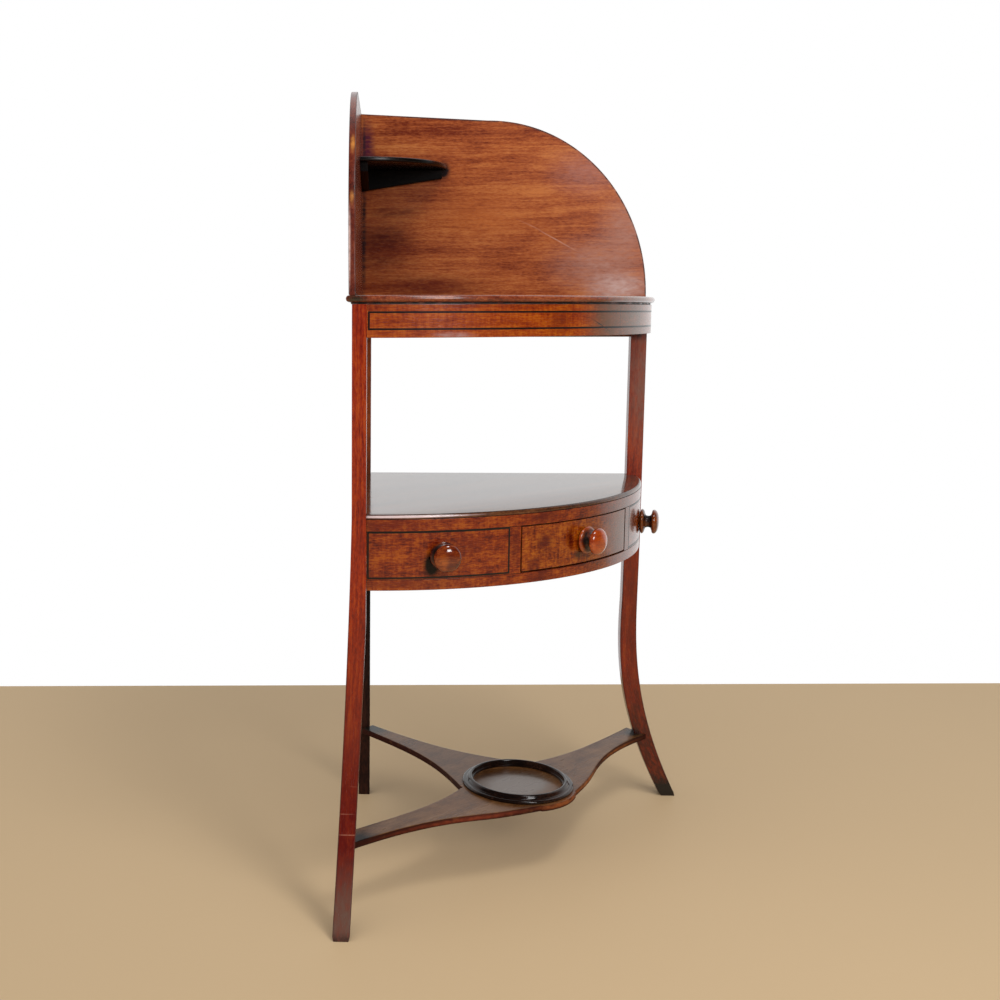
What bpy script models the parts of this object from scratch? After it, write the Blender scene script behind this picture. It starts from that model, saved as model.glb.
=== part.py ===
"""Bow-front corner washstand: three legs, a moulded top with shaped back boards,
a tier with one drawer between two dummy fronts, and a Y-shaped stretcher."""
import math

import bmesh
import bpy
from mathutils import Vector

# Clearances and shared workshop sizes, metres
DIAGONAL = math.sqrt(2.0)
GAP = 0.0003
OVERRUN = 0.004
ARC_STEP = math.radians(3.0)
BOW_STEPS = 30
NOSE_STEPS = 3
SMOOTH_ANGLE = math.radians(35.0)
TENON_THICKNESS = 0.006
TENON_LENGTH = 0.0055
BOW_TENON_LENGTH = 0.0045
TENON_SHOULDER = 0.005

# Legs: outer faces on the two wall planes, splayed below the tier
LEG_FACE = 0.4555
LEG_ACROSS = 0.0188
LEG_DEPTH = 0.0247
BACK_LEG = 0.0184
LOWER_LEG_ACROSS = 0.0230
FOOT_DEPTH = 0.0255
KNEE_SWELL = 0.0030
LEG_LEAN = 0.0228
LEG_SWEEP = 0.0778
SWEEP_START = 0.340
LEAN_POWER = 1.28
SWEEP_POWER = 2.6
SWEEP_EARLY_SHARE = 0.45
LEG_STATIONS = 18
LEG_ARRIS = 0.0008
LOWER_LEG_ARRIS = 0.0018

# Top board and frieze
TOP_UNDERSIDE = 0.8187
TOP_THICKNESS = 0.0110
FRIEZE_PROUD = 0.0005
FRIEZE_RADIUS = LEG_FACE + FRIEZE_PROUD
TOP_OVERHANG = 0.0043
TOP_RADIUS = FRIEZE_RADIUS + TOP_OVERHANG
TOP_WALL_OVERHANG = 0.0075
TOP_NOSE = 0.0042
FRIEZE_HEIGHT = 0.0427
FRIEZE_THICKNESS = 0.0150
REAR_RAIL_HEIGHT = 0.0500
REAR_RAIL_THICKNESS = 0.0110
REAR_RAIL_INSET = 0.0045
GLUE_BLOCK_LENGTH = 0.030
GLUE_BLOCK_THICKNESS = 0.013
GLUE_BLOCK_HEIGHT = 0.018
GLUE_BLOCK_BEARINGS = (math.radians(24.0), math.radians(45.0), math.radians(66.0))

# Back boards
BOARD_THICKNESS = 0.0088
BOARD_ARRIS = 0.0010
BOARD_STANDS_OUT = 0.0042
BOARD_SET_BACK = 0.0056
BOARD_REACH = TOP_RADIUS - BOARD_SET_BACK
BOARD_BASE = TOP_UNDERSIDE + TOP_THICKNESS + GAP
BOARD_HEIGHT = 0.2887
LEFT_BOARD_LEAN = 0.0030
SHOULDER_PLACE = 0.2000
RIGHT_SHOULDER_DROP = 0.0127
LEFT_SHOULDER_DROP = 0.0022
REAR_SCREW_SHARE = 0.264
FRONT_SCREW_SHARE = 0.748
SCREW_RADIUS = 0.0017
SCREW_HEAD_RADIUS = 0.0034
SCREW_HEAD_HEIGHT = 0.0026
SCREW_LENGTH = 0.030

# Corner shelf on two bearers
SHELF_RADIUS = 0.1390
SHELF_LIFT = 0.2005
SHELF_UNDERSIDE = BOARD_BASE + SHELF_LIFT
SHELF_THICKNESS = 0.0070
SHELF_NOSE = 0.0025
BEARER_LENGTH = 0.1290
BEARER_THICKNESS = 0.0110
BEARER_OUTER_DEPTH = 0.0135
BEARER_CORNER_DEPTH = 0.0320

# Tier with its case
BOW_OFFSET = 0.0160
BOW_SET_BACK = 0.0088
BOW_RADIUS = LEG_FACE - BOW_SET_BACK - BOW_OFFSET
TIER_TOP = 0.5477
TIER_THICKNESS = 0.0060
TIER_NOSE = 0.0022
CASE_HEIGHT = 0.1008
CASE_BOTTOM = TIER_TOP - CASE_HEIGHT
BOTTOM_RAIL_HEIGHT = 0.0161
TOP_RAIL_HEIGHT = 0.0167
PANEL_BOTTOM = CASE_BOTTOM + BOTTOM_RAIL_HEIGHT
PANEL_TOP = TIER_TOP - TIER_THICKNESS - TOP_RAIL_HEIGHT
FRONT_THICKNESS = 0.0180
TOP_RAIL_DEPTH = 0.0300
BOTTOM_RAIL_DEPTH = 0.0400
DRAWER_HALF_ANGLE = math.radians(15.65)
PANEL_SIDE_BEARING = math.radians(26.35)
CASE_SIDE_INSET = 0.0030
CASE_SIDE_THICKNESS = 0.0120

# Ebony stringing
STRING_WIDTH = 0.0020
STRING_DEPTH = 0.0012
PANEL_BORDER = 0.0010
FRIEZE_STRING_DROP = 0.0104
FRIEZE_STRING_HEIGHT = 0.0213
FRIEZE_STRING_TOP = TOP_UNDERSIDE - FRIEZE_STRING_DROP
FRIEZE_STRING_BOTTOM = FRIEZE_STRING_TOP - FRIEZE_STRING_HEIGHT
FRIEZE_STRING_BEARING = math.radians(2.7)

# Drawer and what it runs on
DRAWER_END_GAP = 0.0010
DRAWER_UPPER_GAP = 0.0008
DRAWER_LOWER_GAP = 0.0012
DRAWER_FRONT_THICKNESS = 0.0140
DRAWER_SIDE_THICKNESS = 0.0080
DRAWER_SIDE_DROP = 0.0040
DRAWER_BACK_PLACE = 0.1700
DRAWER_BACK_DROP = 0.0060
DRAWER_BOTTOM_THICKNESS = 0.0045
DRAWER_BOTTOM_LIFT = 0.0045
DRAWER_GROOVE = 0.0030
RUNNER_UNDER = 0.0100
RUNNER_OUTSIDE = 0.0120
RUNNER_HEIGHT = 0.0150
GUIDE_WIDTH = 0.0100
GUIDE_HEIGHT = 0.0160
GUIDE_CLEARANCE = 0.0006
KICKER_DROP = 0.0030
KICKER_WIDTH = 0.0140
STOP_WIDTH = 0.0240
STOP_DEPTH = 0.0100
STOP_HEIGHT = 0.0030
STOP_PLACE = 0.0600

# Turned knobs: height of each, then the turning in shares of each member's radius and length
LEFT_KNOB_LIFT = 0.0297
DRAWER_KNOB_LIFT = 0.0320
RIGHT_KNOB_LIFT = 0.0263
KNOB_PLACES = {
    "left": (math.radians(13.9), PANEL_BOTTOM + LEFT_KNOB_LIFT),
    "drawer": (math.radians(45.0), PANEL_BOTTOM + DRAWER_KNOB_LIFT),
    "right": (math.radians(75.7), PANEL_BOTTOM + RIGHT_KNOB_LIFT),
}
KNOB_COLLAR_RADIUS = 0.0189
KNOB_COLLAR_LENGTH = 0.0076
KNOB_WAIST_RADIUS = 0.0089
KNOB_WAIST_LENGTH = 0.0102
KNOB_HEAD_RADIUS = 0.0185
KNOB_HEAD_LENGTH = 0.0113
KNOB_SPIGOT_RADIUS = 0.0060
KNOB_SPIGOT_LENGTH = 0.0120
KNOB_SIDES = 32
KNOB_COLLAR_SHARES = ((0.80, 0.0), (0.86, 0.16), (0.96, 0.30), (1.0, 0.50), (0.96, 0.72), (0.84, 0.90), (0.70, 1.0))
KNOB_WAIST_SHARES = ((1.10, 0.12), (1.0, 0.35), (1.0, 0.68), (1.12, 0.88))
KNOB_HEAD_SHARES = ((0.70, 0.0), (0.90, 0.08), (0.98, 0.20), (1.0, 0.34), (0.96, 0.52), (0.84, 0.71),
                    (0.63, 0.87), (0.34, 0.97), (0.0, 1.0))

# Stretcher
RING_PLACE_SHARE = 0.75456
RIGHT_ARM_SHARE = 0.74204
LEFT_ARM_SHARE = 0.72448
RING_PLACE = LEG_FACE * RING_PLACE_SHARE
STRETCHER_TOP = 0.1100
STRETCHER_BACK_TOP = 0.1180
STRETCHER_THICKNESS = 0.0093
PLATFORM_RADIUS = 0.0870
FRONT_ARM_ANGLE = math.radians(2.0)
ARM_HOUSING = 0.0058
RIGHT_ARM_REACH = LEG_FACE * RIGHT_ARM_SHARE
LEFT_ARM_REACH = LEG_FACE * LEFT_ARM_SHARE
BACK_ARM_REACH = RING_PLACE - BACK_LEG * DIAGONAL + ARM_HOUSING
RING_OUTER = 0.0818
RING_RIM = 0.0745
RING_INNER = 0.0665
RING_HEIGHT = 0.0105
RING_BASE_HEIGHT = 0.0045
RECESS_DEPTH = 0.0020
RING_SIDES = 48
EDGE_STEPS = 4

# Edges of the stretcher's arms, each point as shares of the arm's reach and of the platform's radius
FRONT_EDGE_SHARES = ((0.112, 0.878), (0.315, 0.645), (0.450, 0.430), (0.740, 0.140), (1.0, 0.061))
REAR_EDGE_SHARES = ((1.0, -0.328), (0.735, -0.274), (0.360, -0.345), (0.230, -0.467))
BACK_ARM_SHARES = ((0.133, 0.886), (0.262, 0.651), (0.454, 0.379), (1.0, 0.144))

# Where the row's origin lies, measured along the diagonal from the wall corner
FRONT_REACH = (BOW_OFFSET * DIAGONAL + BOW_RADIUS + KNOB_COLLAR_LENGTH + KNOB_WAIST_LENGTH
               + KNOB_HEAD_LENGTH + GAP)
BACK_REACH = TOP_WALL_OVERHANG * DIAGONAL
ORIGIN_PLACE = (FRONT_REACH - BACK_REACH) / 2

# Colours: linear red, green, blue with roughness
FINISHES = {
    "red_mahogany": ((0.180, 0.030, 0.010), 0.32),
    "golden_mahogany": ((0.250, 0.070, 0.018), 0.30),
    "dark_mahogany": ((0.050, 0.016, 0.010), 0.35),
    "ebony": ((0.006, 0.005, 0.005), 0.35),
    "drawer_oak": ((0.260, 0.140, 0.060), 0.60),
    "rail_pine": ((0.330, 0.190, 0.080), 0.65),
    "steel": ((0.300, 0.290, 0.280), 0.45),
}


def clear_scene():
    """Remove whatever the file opened with."""
    for thing in list(bpy.data.objects):
        bpy.data.objects.remove(thing, do_unlink=True)


def finish(name):
    """The shared material of one finish."""
    material = bpy.data.materials.get(name)
    if material is None:
        colour, roughness = FINISHES[name]
        material = bpy.data.materials.new(name)
        material.use_nodes = True
        shader = material.node_tree.nodes["Principled BSDF"]
        shader.inputs["Base Color"].default_value = (*colour, 1.0)
        shader.inputs["Roughness"].default_value = roughness
        shader.inputs["Metallic"].default_value = 1.0 if name == "steel" else 0.0
    return material


def empty(name, location, rotation=(0.0, 0.0, 0.0), parent=None):
    """A frame that pieces are placed in."""
    frame = bpy.data.objects.new(name, None)
    frame.location = location
    frame.rotation_euler = rotation
    frame.parent = parent
    bpy.context.collection.objects.link(frame)
    return frame


def new_piece(name, mesh_maker, material, parent, smooth=False):
    """An object whose mesh is a closed body with its faces pointing out."""
    work = bmesh.new()
    mesh_maker(work)
    bmesh.ops.recalc_face_normals(work, faces=work.faces[:])
    mesh = bpy.data.meshes.new(name)
    work.to_mesh(mesh)
    work.free()
    mesh.materials.append(finish(material))
    if smooth:
        mesh.shade_smooth()
        mesh.set_sharp_from_angle(angle=SMOOTH_ANGLE)
    piece = bpy.data.objects.new(name, mesh)
    piece.parent = parent
    bpy.context.collection.objects.link(piece)
    return piece


def loft(work, rings):
    """Skin a list of equal rings of points and close both ends."""
    loops = [[work.verts.new(point) for point in ring] for ring in rings]
    count = len(loops[0])
    for low, high in zip(loops, loops[1:]):
        for i in range(count):
            j = (i + 1) % count
            work.faces.new((low[i], low[j], high[j], high[i]))
    work.faces.new(loops[0][::-1])
    work.faces.new(loops[-1])


def wall_point(left, right, height):
    """A point given by its distances along the left wall and along the right wall."""
    return Vector((right, -left, height))


def side_point(side, along, inward, height):
    """A point along one wall, some way in from it."""
    if side == "right":
        return wall_point(inward, along, height)
    return wall_point(along, inward, height)


def upright(outline, low, high):
    """A prism standing on a plan outline of (left, right) pairs."""
    def make(work):
        loft(work, [[wall_point(*place, z) for place in outline] for z in (low, high)])
    return make


def plan_prism(outline, low, high):
    """A prism standing on a plan outline of (x, y) pairs in its parent's own frame."""
    def make(work):
        loft(work, [[(x, y, z) for x, y in outline] for z in (low, high)])
    return make


def wall_plate(side, outline, inward_from, inward_to):
    """A plate parallel to one wall, cut to an outline of (along, height) pairs."""
    def make(work):
        faces = (inward_from, inward_to)
        loft(work, [[side_point(side, along, inward, z) for along, z in outline] for inward in faces])
    return make


def wall_box(side, along, inward, height):
    """A box parallel to one wall from three (from, to) pairs."""
    outline = [(along[0], height[0]), (along[1], height[0]), (along[1], height[1]), (along[0], height[1])]
    return wall_plate(side, outline, *inward)


def nose_profile(low, high, lower_nose, upper_nose):
    """(inset, height) pairs up a board's edge whose lower and upper arrises are rounded."""
    turns = [math.pi / 2 * i / NOSE_STEPS for i in range(NOSE_STEPS + 1)]
    pairs = []
    for nose, base, way in ((lower_nose, low, 1), (upper_nose, high, -1)):
        quarter = [(nose * (1 - math.sin(t)), base + way * nose * (1 - math.cos(t))) for t in turns]
        pairs += quarter[::way] if nose else [(0.0, base)]
    return pairs


def nosed_board(outline_at, profile):
    """A board with a rounded edge, from its plan outline at each inset."""
    def make(work):
        loft(work, [[wall_point(*place, z) for place in outline_at(inset)] for inset, z in profile])
    return make


def rounded(corners, radius):
    """A level outline with each of its corners rounded by three points."""
    line = []
    for i, corner in enumerate(corners):
        back = (corners[i - 1] - corner).normalized() * radius
        on = (corners[(i + 1) % len(corners)] - corner).normalized() * radius
        line += [corner + back, corner + (back + on) * (1 - math.sqrt(0.5)), corner + on]
    return line


def bearings(start, end, count=None):
    """Bearings from start to end, at about the shared step if no count is given."""
    count = count or max(1, round(abs(end - start) / ARC_STEP))
    return [start + (end - start) * i / count for i in range(count + 1)]


def arc(centre, radius, start, end, count=None):
    """Points of an arc about (centre, centre); a bearing turns from the left wall to the right wall."""
    turns = bearings(start, end, count)
    return [(centre + radius * math.cos(turn), centre + radius * math.sin(turn)) for turn in turns]


def bow(centre, radius, inward):
    """Points of a whole bow from one line that lies inward from a wall to the other."""
    start = face_bearing(centre, radius, inward)
    return arc(centre, radius, start, math.pi / 2 - start, BOW_STEPS)


def arc_strip(centre, inner, outer, start, end):
    """The plan outline of a curved block whose ends point at the bow's centre."""
    return arc(centre, outer, start, end) + arc(centre, inner, start, end)[::-1]


def leg_strip(centre, inner, outer, end=None):
    """The plan outline of a curved rail that starts square against the left leg.

    It runs to the bearing end, or to the right leg.
    """
    line = []
    for radius, turn in ((outer, 1), (inner, -1)):
        start = face_bearing(centre, radius, LEG_ACROSS + GAP)
        line += arc(centre, radius, start, math.pi / 2 - start if end is None else end)[::turn]
    return line


def face_bearing(centre, radius, inward):
    """The bearing at which an arc about (centre, centre) stands inward from the left wall."""
    return math.asin((inward - centre) / radius)


def lathe(profile, sides):
    """A body turned about Z from (radius, height) pairs; a zero radius makes a pole.

    A profile that has no pole at its ends closes on itself as a ring.
    """
    def make(work):
        rings = []
        for radius, height in profile:
            if radius == 0.0:
                rings.append([work.verts.new((0.0, 0.0, height))])
                continue
            turn = [2 * math.pi * i / sides for i in range(sides)]
            rings.append([work.verts.new((radius * math.cos(t), radius * math.sin(t), height)) for t in turn])
        pairs = list(zip(rings, rings[1:]))
        if len(rings[0]) > 1:
            pairs.append((rings[-1], rings[0]))
        for low, high in pairs:
            for i in range(sides):
                j = (i + 1) % sides
                corners = [low[i % len(low)], low[j % len(low)], high[j % len(high)], high[i % len(high)]]
                work.faces.new(list(dict.fromkeys(corners)))
    return make


def smooth_line(points):
    """Points along a Catmull-Rom curve through the given points."""
    padded = [points[0], *points, points[-1]]
    line = []
    for p0, p1, p2, p3 in zip(padded, padded[1:], padded[2:], padded[3:]):
        for i in range(EDGE_STEPS):
            t = i / EDGE_STEPS
            weights = (-t + 2 * t**2 - t**3, 2 - 5 * t**2 + 3 * t**3, t + 4 * t**2 - 3 * t**3, t**3 - t**2)
            line.append(tuple(sum(w * p[k] for w, p in zip(weights, (p0, p1, p2, p3))) / 2 for k in (0, 1)))
    return line + [points[-1]]


def round_edges(piece, width):
    """Round the sharp edges of a piece."""
    bevel = piece.modifiers.new("round_edges", 'BEVEL')
    bevel.width = width
    bevel.segments = NOSE_STEPS - 1
    bevel.limit_method = 'ANGLE'
    bevel.angle_limit = SMOOTH_ANGLE


def guide(name, mesh_maker, parent):
    """A body that only shapes others and is no piece itself."""
    cutter = new_piece(name, mesh_maker, "steel", parent)
    cutter.hide_render = True
    cutter.display_type = 'WIRE'
    return cutter


def cut(piece, cutter):
    """Take a guide's shape out of a piece."""
    step = piece.modifiers.new(cutter.name, 'BOOLEAN')
    step.operation = 'DIFFERENCE'
    step.solver = 'EXACT'
    step.object = cutter


def add(piece, extra):
    """Make a guide's shape part of a piece."""
    step = piece.modifiers.new(extra.name, 'BOOLEAN')
    step.operation = 'UNION'
    step.solver = 'EXACT'
    step.object = extra


def leg_offsets(height):
    """How far a front leg leans out past its wall plane and sweeps along it at a height."""
    lean_share = max(0.0, (TIER_TOP - height) / TIER_TOP)
    sweep_share = max(0.0, (SWEEP_START - height) / SWEEP_START)
    lean = LEG_LEAN * lean_share ** LEAN_POWER
    sweep = LEG_SWEEP * sweep_share ** SWEEP_POWER * (1 + SWEEP_EARLY_SHARE * (1 - sweep_share))
    depth = LEG_DEPTH + (FOOT_DEPTH - LEG_DEPTH) * sweep_share + KNEE_SWELL * math.sin(math.pi * sweep_share)
    inner = min(LEG_ACROSS, LOWER_LEG_ACROSS - lean)
    return -lean, inner, LEG_FACE + sweep - depth, LEG_FACE + sweep


def leg_section(side, height):
    """A front leg's outline at a height, with its arrises more worn below the case."""
    outer, inner, back, front = leg_offsets(height)
    corners = ((back, outer), (front, outer), (front, inner), (back, inner))
    arris = LEG_ARRIS if height >= CASE_BOTTOM else LOWER_LEG_ARRIS
    return rounded([side_point(side, along, inward, height) for along, inward in corners], arris)


def leg_body(side):
    """A whole front leg, skinned from its top to its sole."""
    def make(work):
        loft(work, [leg_section(side, height) for height in leg_heights()])
    return make


def leg_heights():
    """Stations from the top of a front leg down to its sole."""
    upper = [TOP_UNDERSIDE - GAP, TIER_TOP, (TIER_TOP + CASE_BOTTOM) / 2, CASE_BOTTOM]
    lower = [CASE_BOTTOM * (1 - (i + 1) / LEG_STATIONS) for i in range(LEG_STATIONS)]
    return upper + lower


def tenon(side, end, inward, height, name, rail, mortised, parent):
    """A stub tenon on a rail's end and the mortise it fills in a leg.

    end is (shoulder, tip) along the wall; inward and height are (from, to) pairs.
    """
    shoulder, tip = end
    toward = 1 if tip > shoulder else -1
    inside = (shoulder - toward * OVERRUN, tip)
    tongue = guide(name + "_tenon", wall_box(side, inside, inward, height), parent)
    add(rail, tongue)
    wider = (inward[0] - GAP, inward[1] + GAP)
    taller = (height[0] - GAP, height[1] + GAP)
    hole = (shoulder - toward * OVERRUN, tip + toward * GAP)
    cut(mortised, guide(name + "_mortise", wall_box(side, hole, wider, taller), parent))


def straight_rail(name, side, legs, inward, height, material, parent):
    """A rail along one wall, tenoned into the back leg and a front leg."""
    start = BACK_LEG + GAP
    end = LEG_FACE - LEG_DEPTH - GAP
    rail = new_piece(name, wall_box(side, (start, end), inward, height), material, parent)
    middle = (inward[0] + inward[1]) / 2
    tongue = (middle - TENON_THICKNESS / 2, middle + TENON_THICKNESS / 2)
    tongue_height = (height[0] + TENON_SHOULDER, height[1] - TENON_SHOULDER)
    tenon(side, (start, start - TENON_LENGTH), tongue, tongue_height, name + "_back", rail, legs["back"], parent)
    tenon(side, (end, end + TENON_LENGTH), tongue, tongue_height, name + "_front", rail, legs[side], parent)
    return rail


def curved_rail(name, centre, outer, depth, height, legs, material, parent):
    """A bowed rail between the front legs, with a stub tenon in each."""
    inner = outer - depth
    rail = new_piece(name, upright(leg_strip(centre, inner, outer), *height), material, parent)
    shoulder = min(TENON_SHOULDER, (height[1] - height[0]) / 4)
    low, high = height[0] + shoulder, height[1] - shoulder
    along_from = max(centre + inner, LEG_FACE - LEG_DEPTH) + TENON_SHOULDER
    along_to = centre + outer - TENON_SHOULDER
    tip = LEG_ACROSS - BOW_TENON_LENGTH
    root = LEG_ACROSS + OVERRUN
    for side in ("left", "right"):
        box = wall_box(side, (along_from, along_to), (tip, root), (low, high))
        add(rail, guide(f"{name}_{side}_tenon", box, parent))
        hole = wall_box(side, (along_from - GAP, along_to + GAP), (tip - GAP, root), (low - GAP, high + GAP))
        cut(legs[side], guide(f"{name}_{side}_mortise", hole, parent))
    return rail


def bow_point(centre, radius, bearing, height):
    """A point on a bowed face."""
    return wall_point(centre + radius * math.cos(bearing), centre + radius * math.sin(bearing), height)


def string_loop(work, centre, radius, start, end, low, high, grow, out):
    """A closed loop of stringing let into a bowed face, enlarged by grow and proud by out."""
    rise = STRING_WIDTH / 2 + grow
    spread = rise / radius
    steps = bearings(start, end)
    inside = [start + spread, *steps[1:-1], end - spread]
    outside = [start - spread, *steps[1:-1], end + spread]
    rings = []
    for face in (radius - STRING_DEPTH - grow, radius + out):
        for turns, margin in ((outside, rise), (inside, -rise)):
            lower = [bow_point(centre, face, turn, low - margin) for turn in turns]
            upper = [bow_point(centre, face, turn, high + margin) for turn in turns]
            rings.append([work.verts.new(point) for point in lower + upper[::-1]])
    back_out, back_in, front_out, front_in = rings
    count = len(back_out)
    for i in range(count):
        j = (i + 1) % count
        work.faces.new((front_out[i], front_out[j], front_in[j], front_in[i]))
        work.faces.new((back_out[j], back_out[i], back_in[i], back_in[j]))
        work.faces.new((back_out[i], back_out[j], front_out[j], front_out[i]))
        work.faces.new((front_in[i], front_in[j], back_in[j], back_in[i]))


def inlay(name, piece, centre, radius, start, end, low, high, parent):
    """A loop of ebony stringing and the groove that holds it."""
    shape = (centre, radius, start, end, low, high)
    new_piece(name, lambda work: string_loop(work, *shape, 0.0, 0.0), "ebony", parent)
    cut(piece, guide(name + "_groove", lambda work: string_loop(work, *shape, GAP, OVERRUN), parent))


def build_legs(corner):
    """Two swept front legs and a straight back leg."""
    legs = {}
    for side in ("left", "right"):
        legs[side] = new_piece(side + "_leg", leg_body(side), "red_mahogany", corner, smooth=True)
    square = [Vector((0.0, 0.0)), Vector((BACK_LEG, 0.0)), Vector((BACK_LEG, BACK_LEG)), Vector((0.0, BACK_LEG))]
    legs["back"] = new_piece("back_leg", upright(rounded(square, LEG_ARRIS), 0.0, TOP_UNDERSIDE - GAP),
                             "dark_mahogany", corner)
    return legs


def build_frieze(corner, legs):
    """The bowed frieze with its string panel, the rails behind it and the glue blocks."""
    top = TOP_UNDERSIDE - GAP
    frieze = curved_rail("frieze_rail", 0.0, FRIEZE_RADIUS, FRIEZE_THICKNESS,
                         (TOP_UNDERSIDE - FRIEZE_HEIGHT, top), legs, "golden_mahogany", corner)
    inlay("frieze_string", frieze, 0.0, FRIEZE_RADIUS, FRIEZE_STRING_BEARING,
          math.pi / 2 - FRIEZE_STRING_BEARING, FRIEZE_STRING_BOTTOM, FRIEZE_STRING_TOP, corner)
    inward = (REAR_RAIL_INSET, REAR_RAIL_INSET + REAR_RAIL_THICKNESS)
    for side in ("left", "right"):
        straight_rail(side + "_rear_top_rail", side, legs, inward, (TOP_UNDERSIDE - REAR_RAIL_HEIGHT, top),
                      "dark_mahogany", corner)
    outer = FRIEZE_RADIUS - FRIEZE_THICKNESS - GAP
    half = GLUE_BLOCK_LENGTH / 2 / outer
    for name, bearing in zip(("left", "middle", "right"), GLUE_BLOCK_BEARINGS):
        outline = arc_strip(0.0, outer - GLUE_BLOCK_THICKNESS, outer, bearing - half, bearing + half)
        new_piece(name + "_glue_block", upright(outline, top - GLUE_BLOCK_HEIGHT, top), "rail_pine", corner)


def lean_at(height):
    """How far the left back board stands out from its wall at a height, more at the top."""
    return LEFT_BOARD_LEAN * (height - BOARD_BASE) / BOARD_HEIGHT


def leaning_plate(outline, inward_from, inward_to):
    """A plate along the left wall that leans out with the left back board."""
    def make(work):
        faces = (inward_from, inward_to)
        loft(work, [[side_point("left", along, inward - lean_at(z), z) for along, z in outline] for inward in faces])
    return make


def board_outline(drop, start, top_start):
    """A back board's outline: a falling top edge, then a quarter ellipse down to the top board."""
    across = BOARD_REACH - SHOULDER_PLACE
    rise = BOARD_HEIGHT - drop
    turns = bearings(0.0, math.pi / 2)
    curve = [(SHOULDER_PLACE + across * math.cos(turn), BOARD_BASE + rise * math.sin(turn)) for turn in turns]
    return [(start, BOARD_BASE), *curve, (top_start, BOARD_BASE + BOARD_HEIGHT)]


def build_top(corner):
    """The moulded top board and the two back boards screwed to it."""
    def outline_at(inset):
        edge = inset - TOP_WALL_OVERHANG
        return [(edge, edge), *bow(0.0, TOP_RADIUS - inset, edge)]

    profile = nose_profile(TOP_UNDERSIDE, TOP_UNDERSIDE + TOP_THICKNESS, TOP_NOSE, TOP_NOSE)
    top = new_piece("top_board", nosed_board(outline_at, profile), "golden_mahogany", corner, smooth=True)
    inner_face = BOARD_THICKNESS - BOARD_STANDS_OUT
    end = -BOARD_STANDS_OUT
    right_outline = board_outline(RIGHT_SHOULDER_DROP, end, end - LEFT_BOARD_LEAN)
    left_outline = board_outline(LEFT_SHOULDER_DROP, inner_face + GAP, inner_face + GAP)
    shapes = {"left": leaning_plate(left_outline, end, inner_face),
              "right": wall_plate("right", right_outline, end, inner_face)}
    for side, shape in shapes.items():
        board = new_piece(side + "_back_board", shape, "golden_mahogany", corner)
        round_edges(board, BOARD_ARRIS)
        for number, share in enumerate((REAR_SCREW_SHARE, FRONT_SCREW_SHARE), 1):
            add_board_screw(f"{side}_board_screw_{number}", side, share * BOARD_REACH, top, board, corner)


def screw_profile(grow, mouth):
    """The outline of a countersunk wood screw standing on its head, or of its hole with a mouth below."""
    head = SCREW_HEAD_RADIUS + grow
    shank = SCREW_RADIUS + grow
    tip = SCREW_LENGTH + grow
    start = [(0.0, -mouth), (head, -mouth)] if mouth else [(0.0, 0.0)]
    return [*start, (head, 0.0), (shank, SCREW_HEAD_HEIGHT), (shank, tip - shank), (0.0, tip)]


def add_board_screw(name, side, along, top, board, corner):
    """One screw up through the top board into the lower edge of a back board."""
    inward = BOARD_THICKNESS / 2 - BOARD_STANDS_OUT
    place = side_point(side, along, inward, TOP_UNDERSIDE)
    sides = KNOB_SIDES // 2
    screw = new_piece(name, lathe(screw_profile(0.0, 0.0), sides), "steel", corner)
    hole = guide(name + "_hole", lathe(screw_profile(GAP, OVERRUN), sides), corner)
    for thing in (screw, hole):
        thing.location = place
    cut(top, hole)
    cut(board, hole)


def build_corner_shelf(corner):
    """The small quadrant shelf and its two tapered bearers."""
    face = BOARD_THICKNESS - BOARD_STANDS_OUT + GAP
    lean = lean_at(SHELF_UNDERSIDE)

    def outline_at(inset):
        outline = [(face, face), *bow(0.0, SHELF_RADIUS - inset, face)]
        return [(left, right - lean) for left, right in outline]

    profile = nose_profile(SHELF_UNDERSIDE, SHELF_UNDERSIDE + SHELF_THICKNESS, SHELF_NOSE, SHELF_NOSE)
    new_piece("corner_shelf", nosed_board(outline_at, profile), "dark_mahogany", corner, smooth=True)
    top = SHELF_UNDERSIDE - GAP
    low = top - BEARER_OUTER_DEPTH
    corner_low = top - BEARER_CORNER_DEPTH
    right_outline = [(face - lean_at(top), top), (BEARER_LENGTH, top), (BEARER_LENGTH, low),
                     (face - lean_at(corner_low), corner_low)]
    begin = face + BEARER_THICKNESS + GAP
    rise = (corner_low - low) * (begin - face) / (BEARER_LENGTH - face)
    left_outline = [(begin, top), (BEARER_LENGTH, top), (BEARER_LENGTH, low), (begin, corner_low - rise)]
    inward = (face, face + BEARER_THICKNESS)
    shapes = {"left": leaning_plate(left_outline, *inward), "right": wall_plate("right", right_outline, *inward)}
    for side, shape in shapes.items():
        new_piece(side + "_shelf_bearer", shape, "ebony", corner)


def build_tier(corner):
    """The tier board, notched round the three legs."""
    notch = LEG_ACROSS + GAP
    back = LEG_FACE - LEG_DEPTH - GAP
    block = BACK_LEG + GAP
    corners = [(notch, back), (0.0, back), (0.0, block), (block, block), (block, 0.0), (back, 0.0), (back, notch)]

    def outline_at(inset):
        return bow(BOW_OFFSET, BOW_RADIUS - inset, notch) + corners

    profile = nose_profile(TIER_TOP - TIER_THICKNESS, TIER_TOP, 0.0, TIER_NOSE)
    new_piece("tier_board", nosed_board(outline_at, profile), "golden_mahogany", corner, smooth=True)


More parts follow.
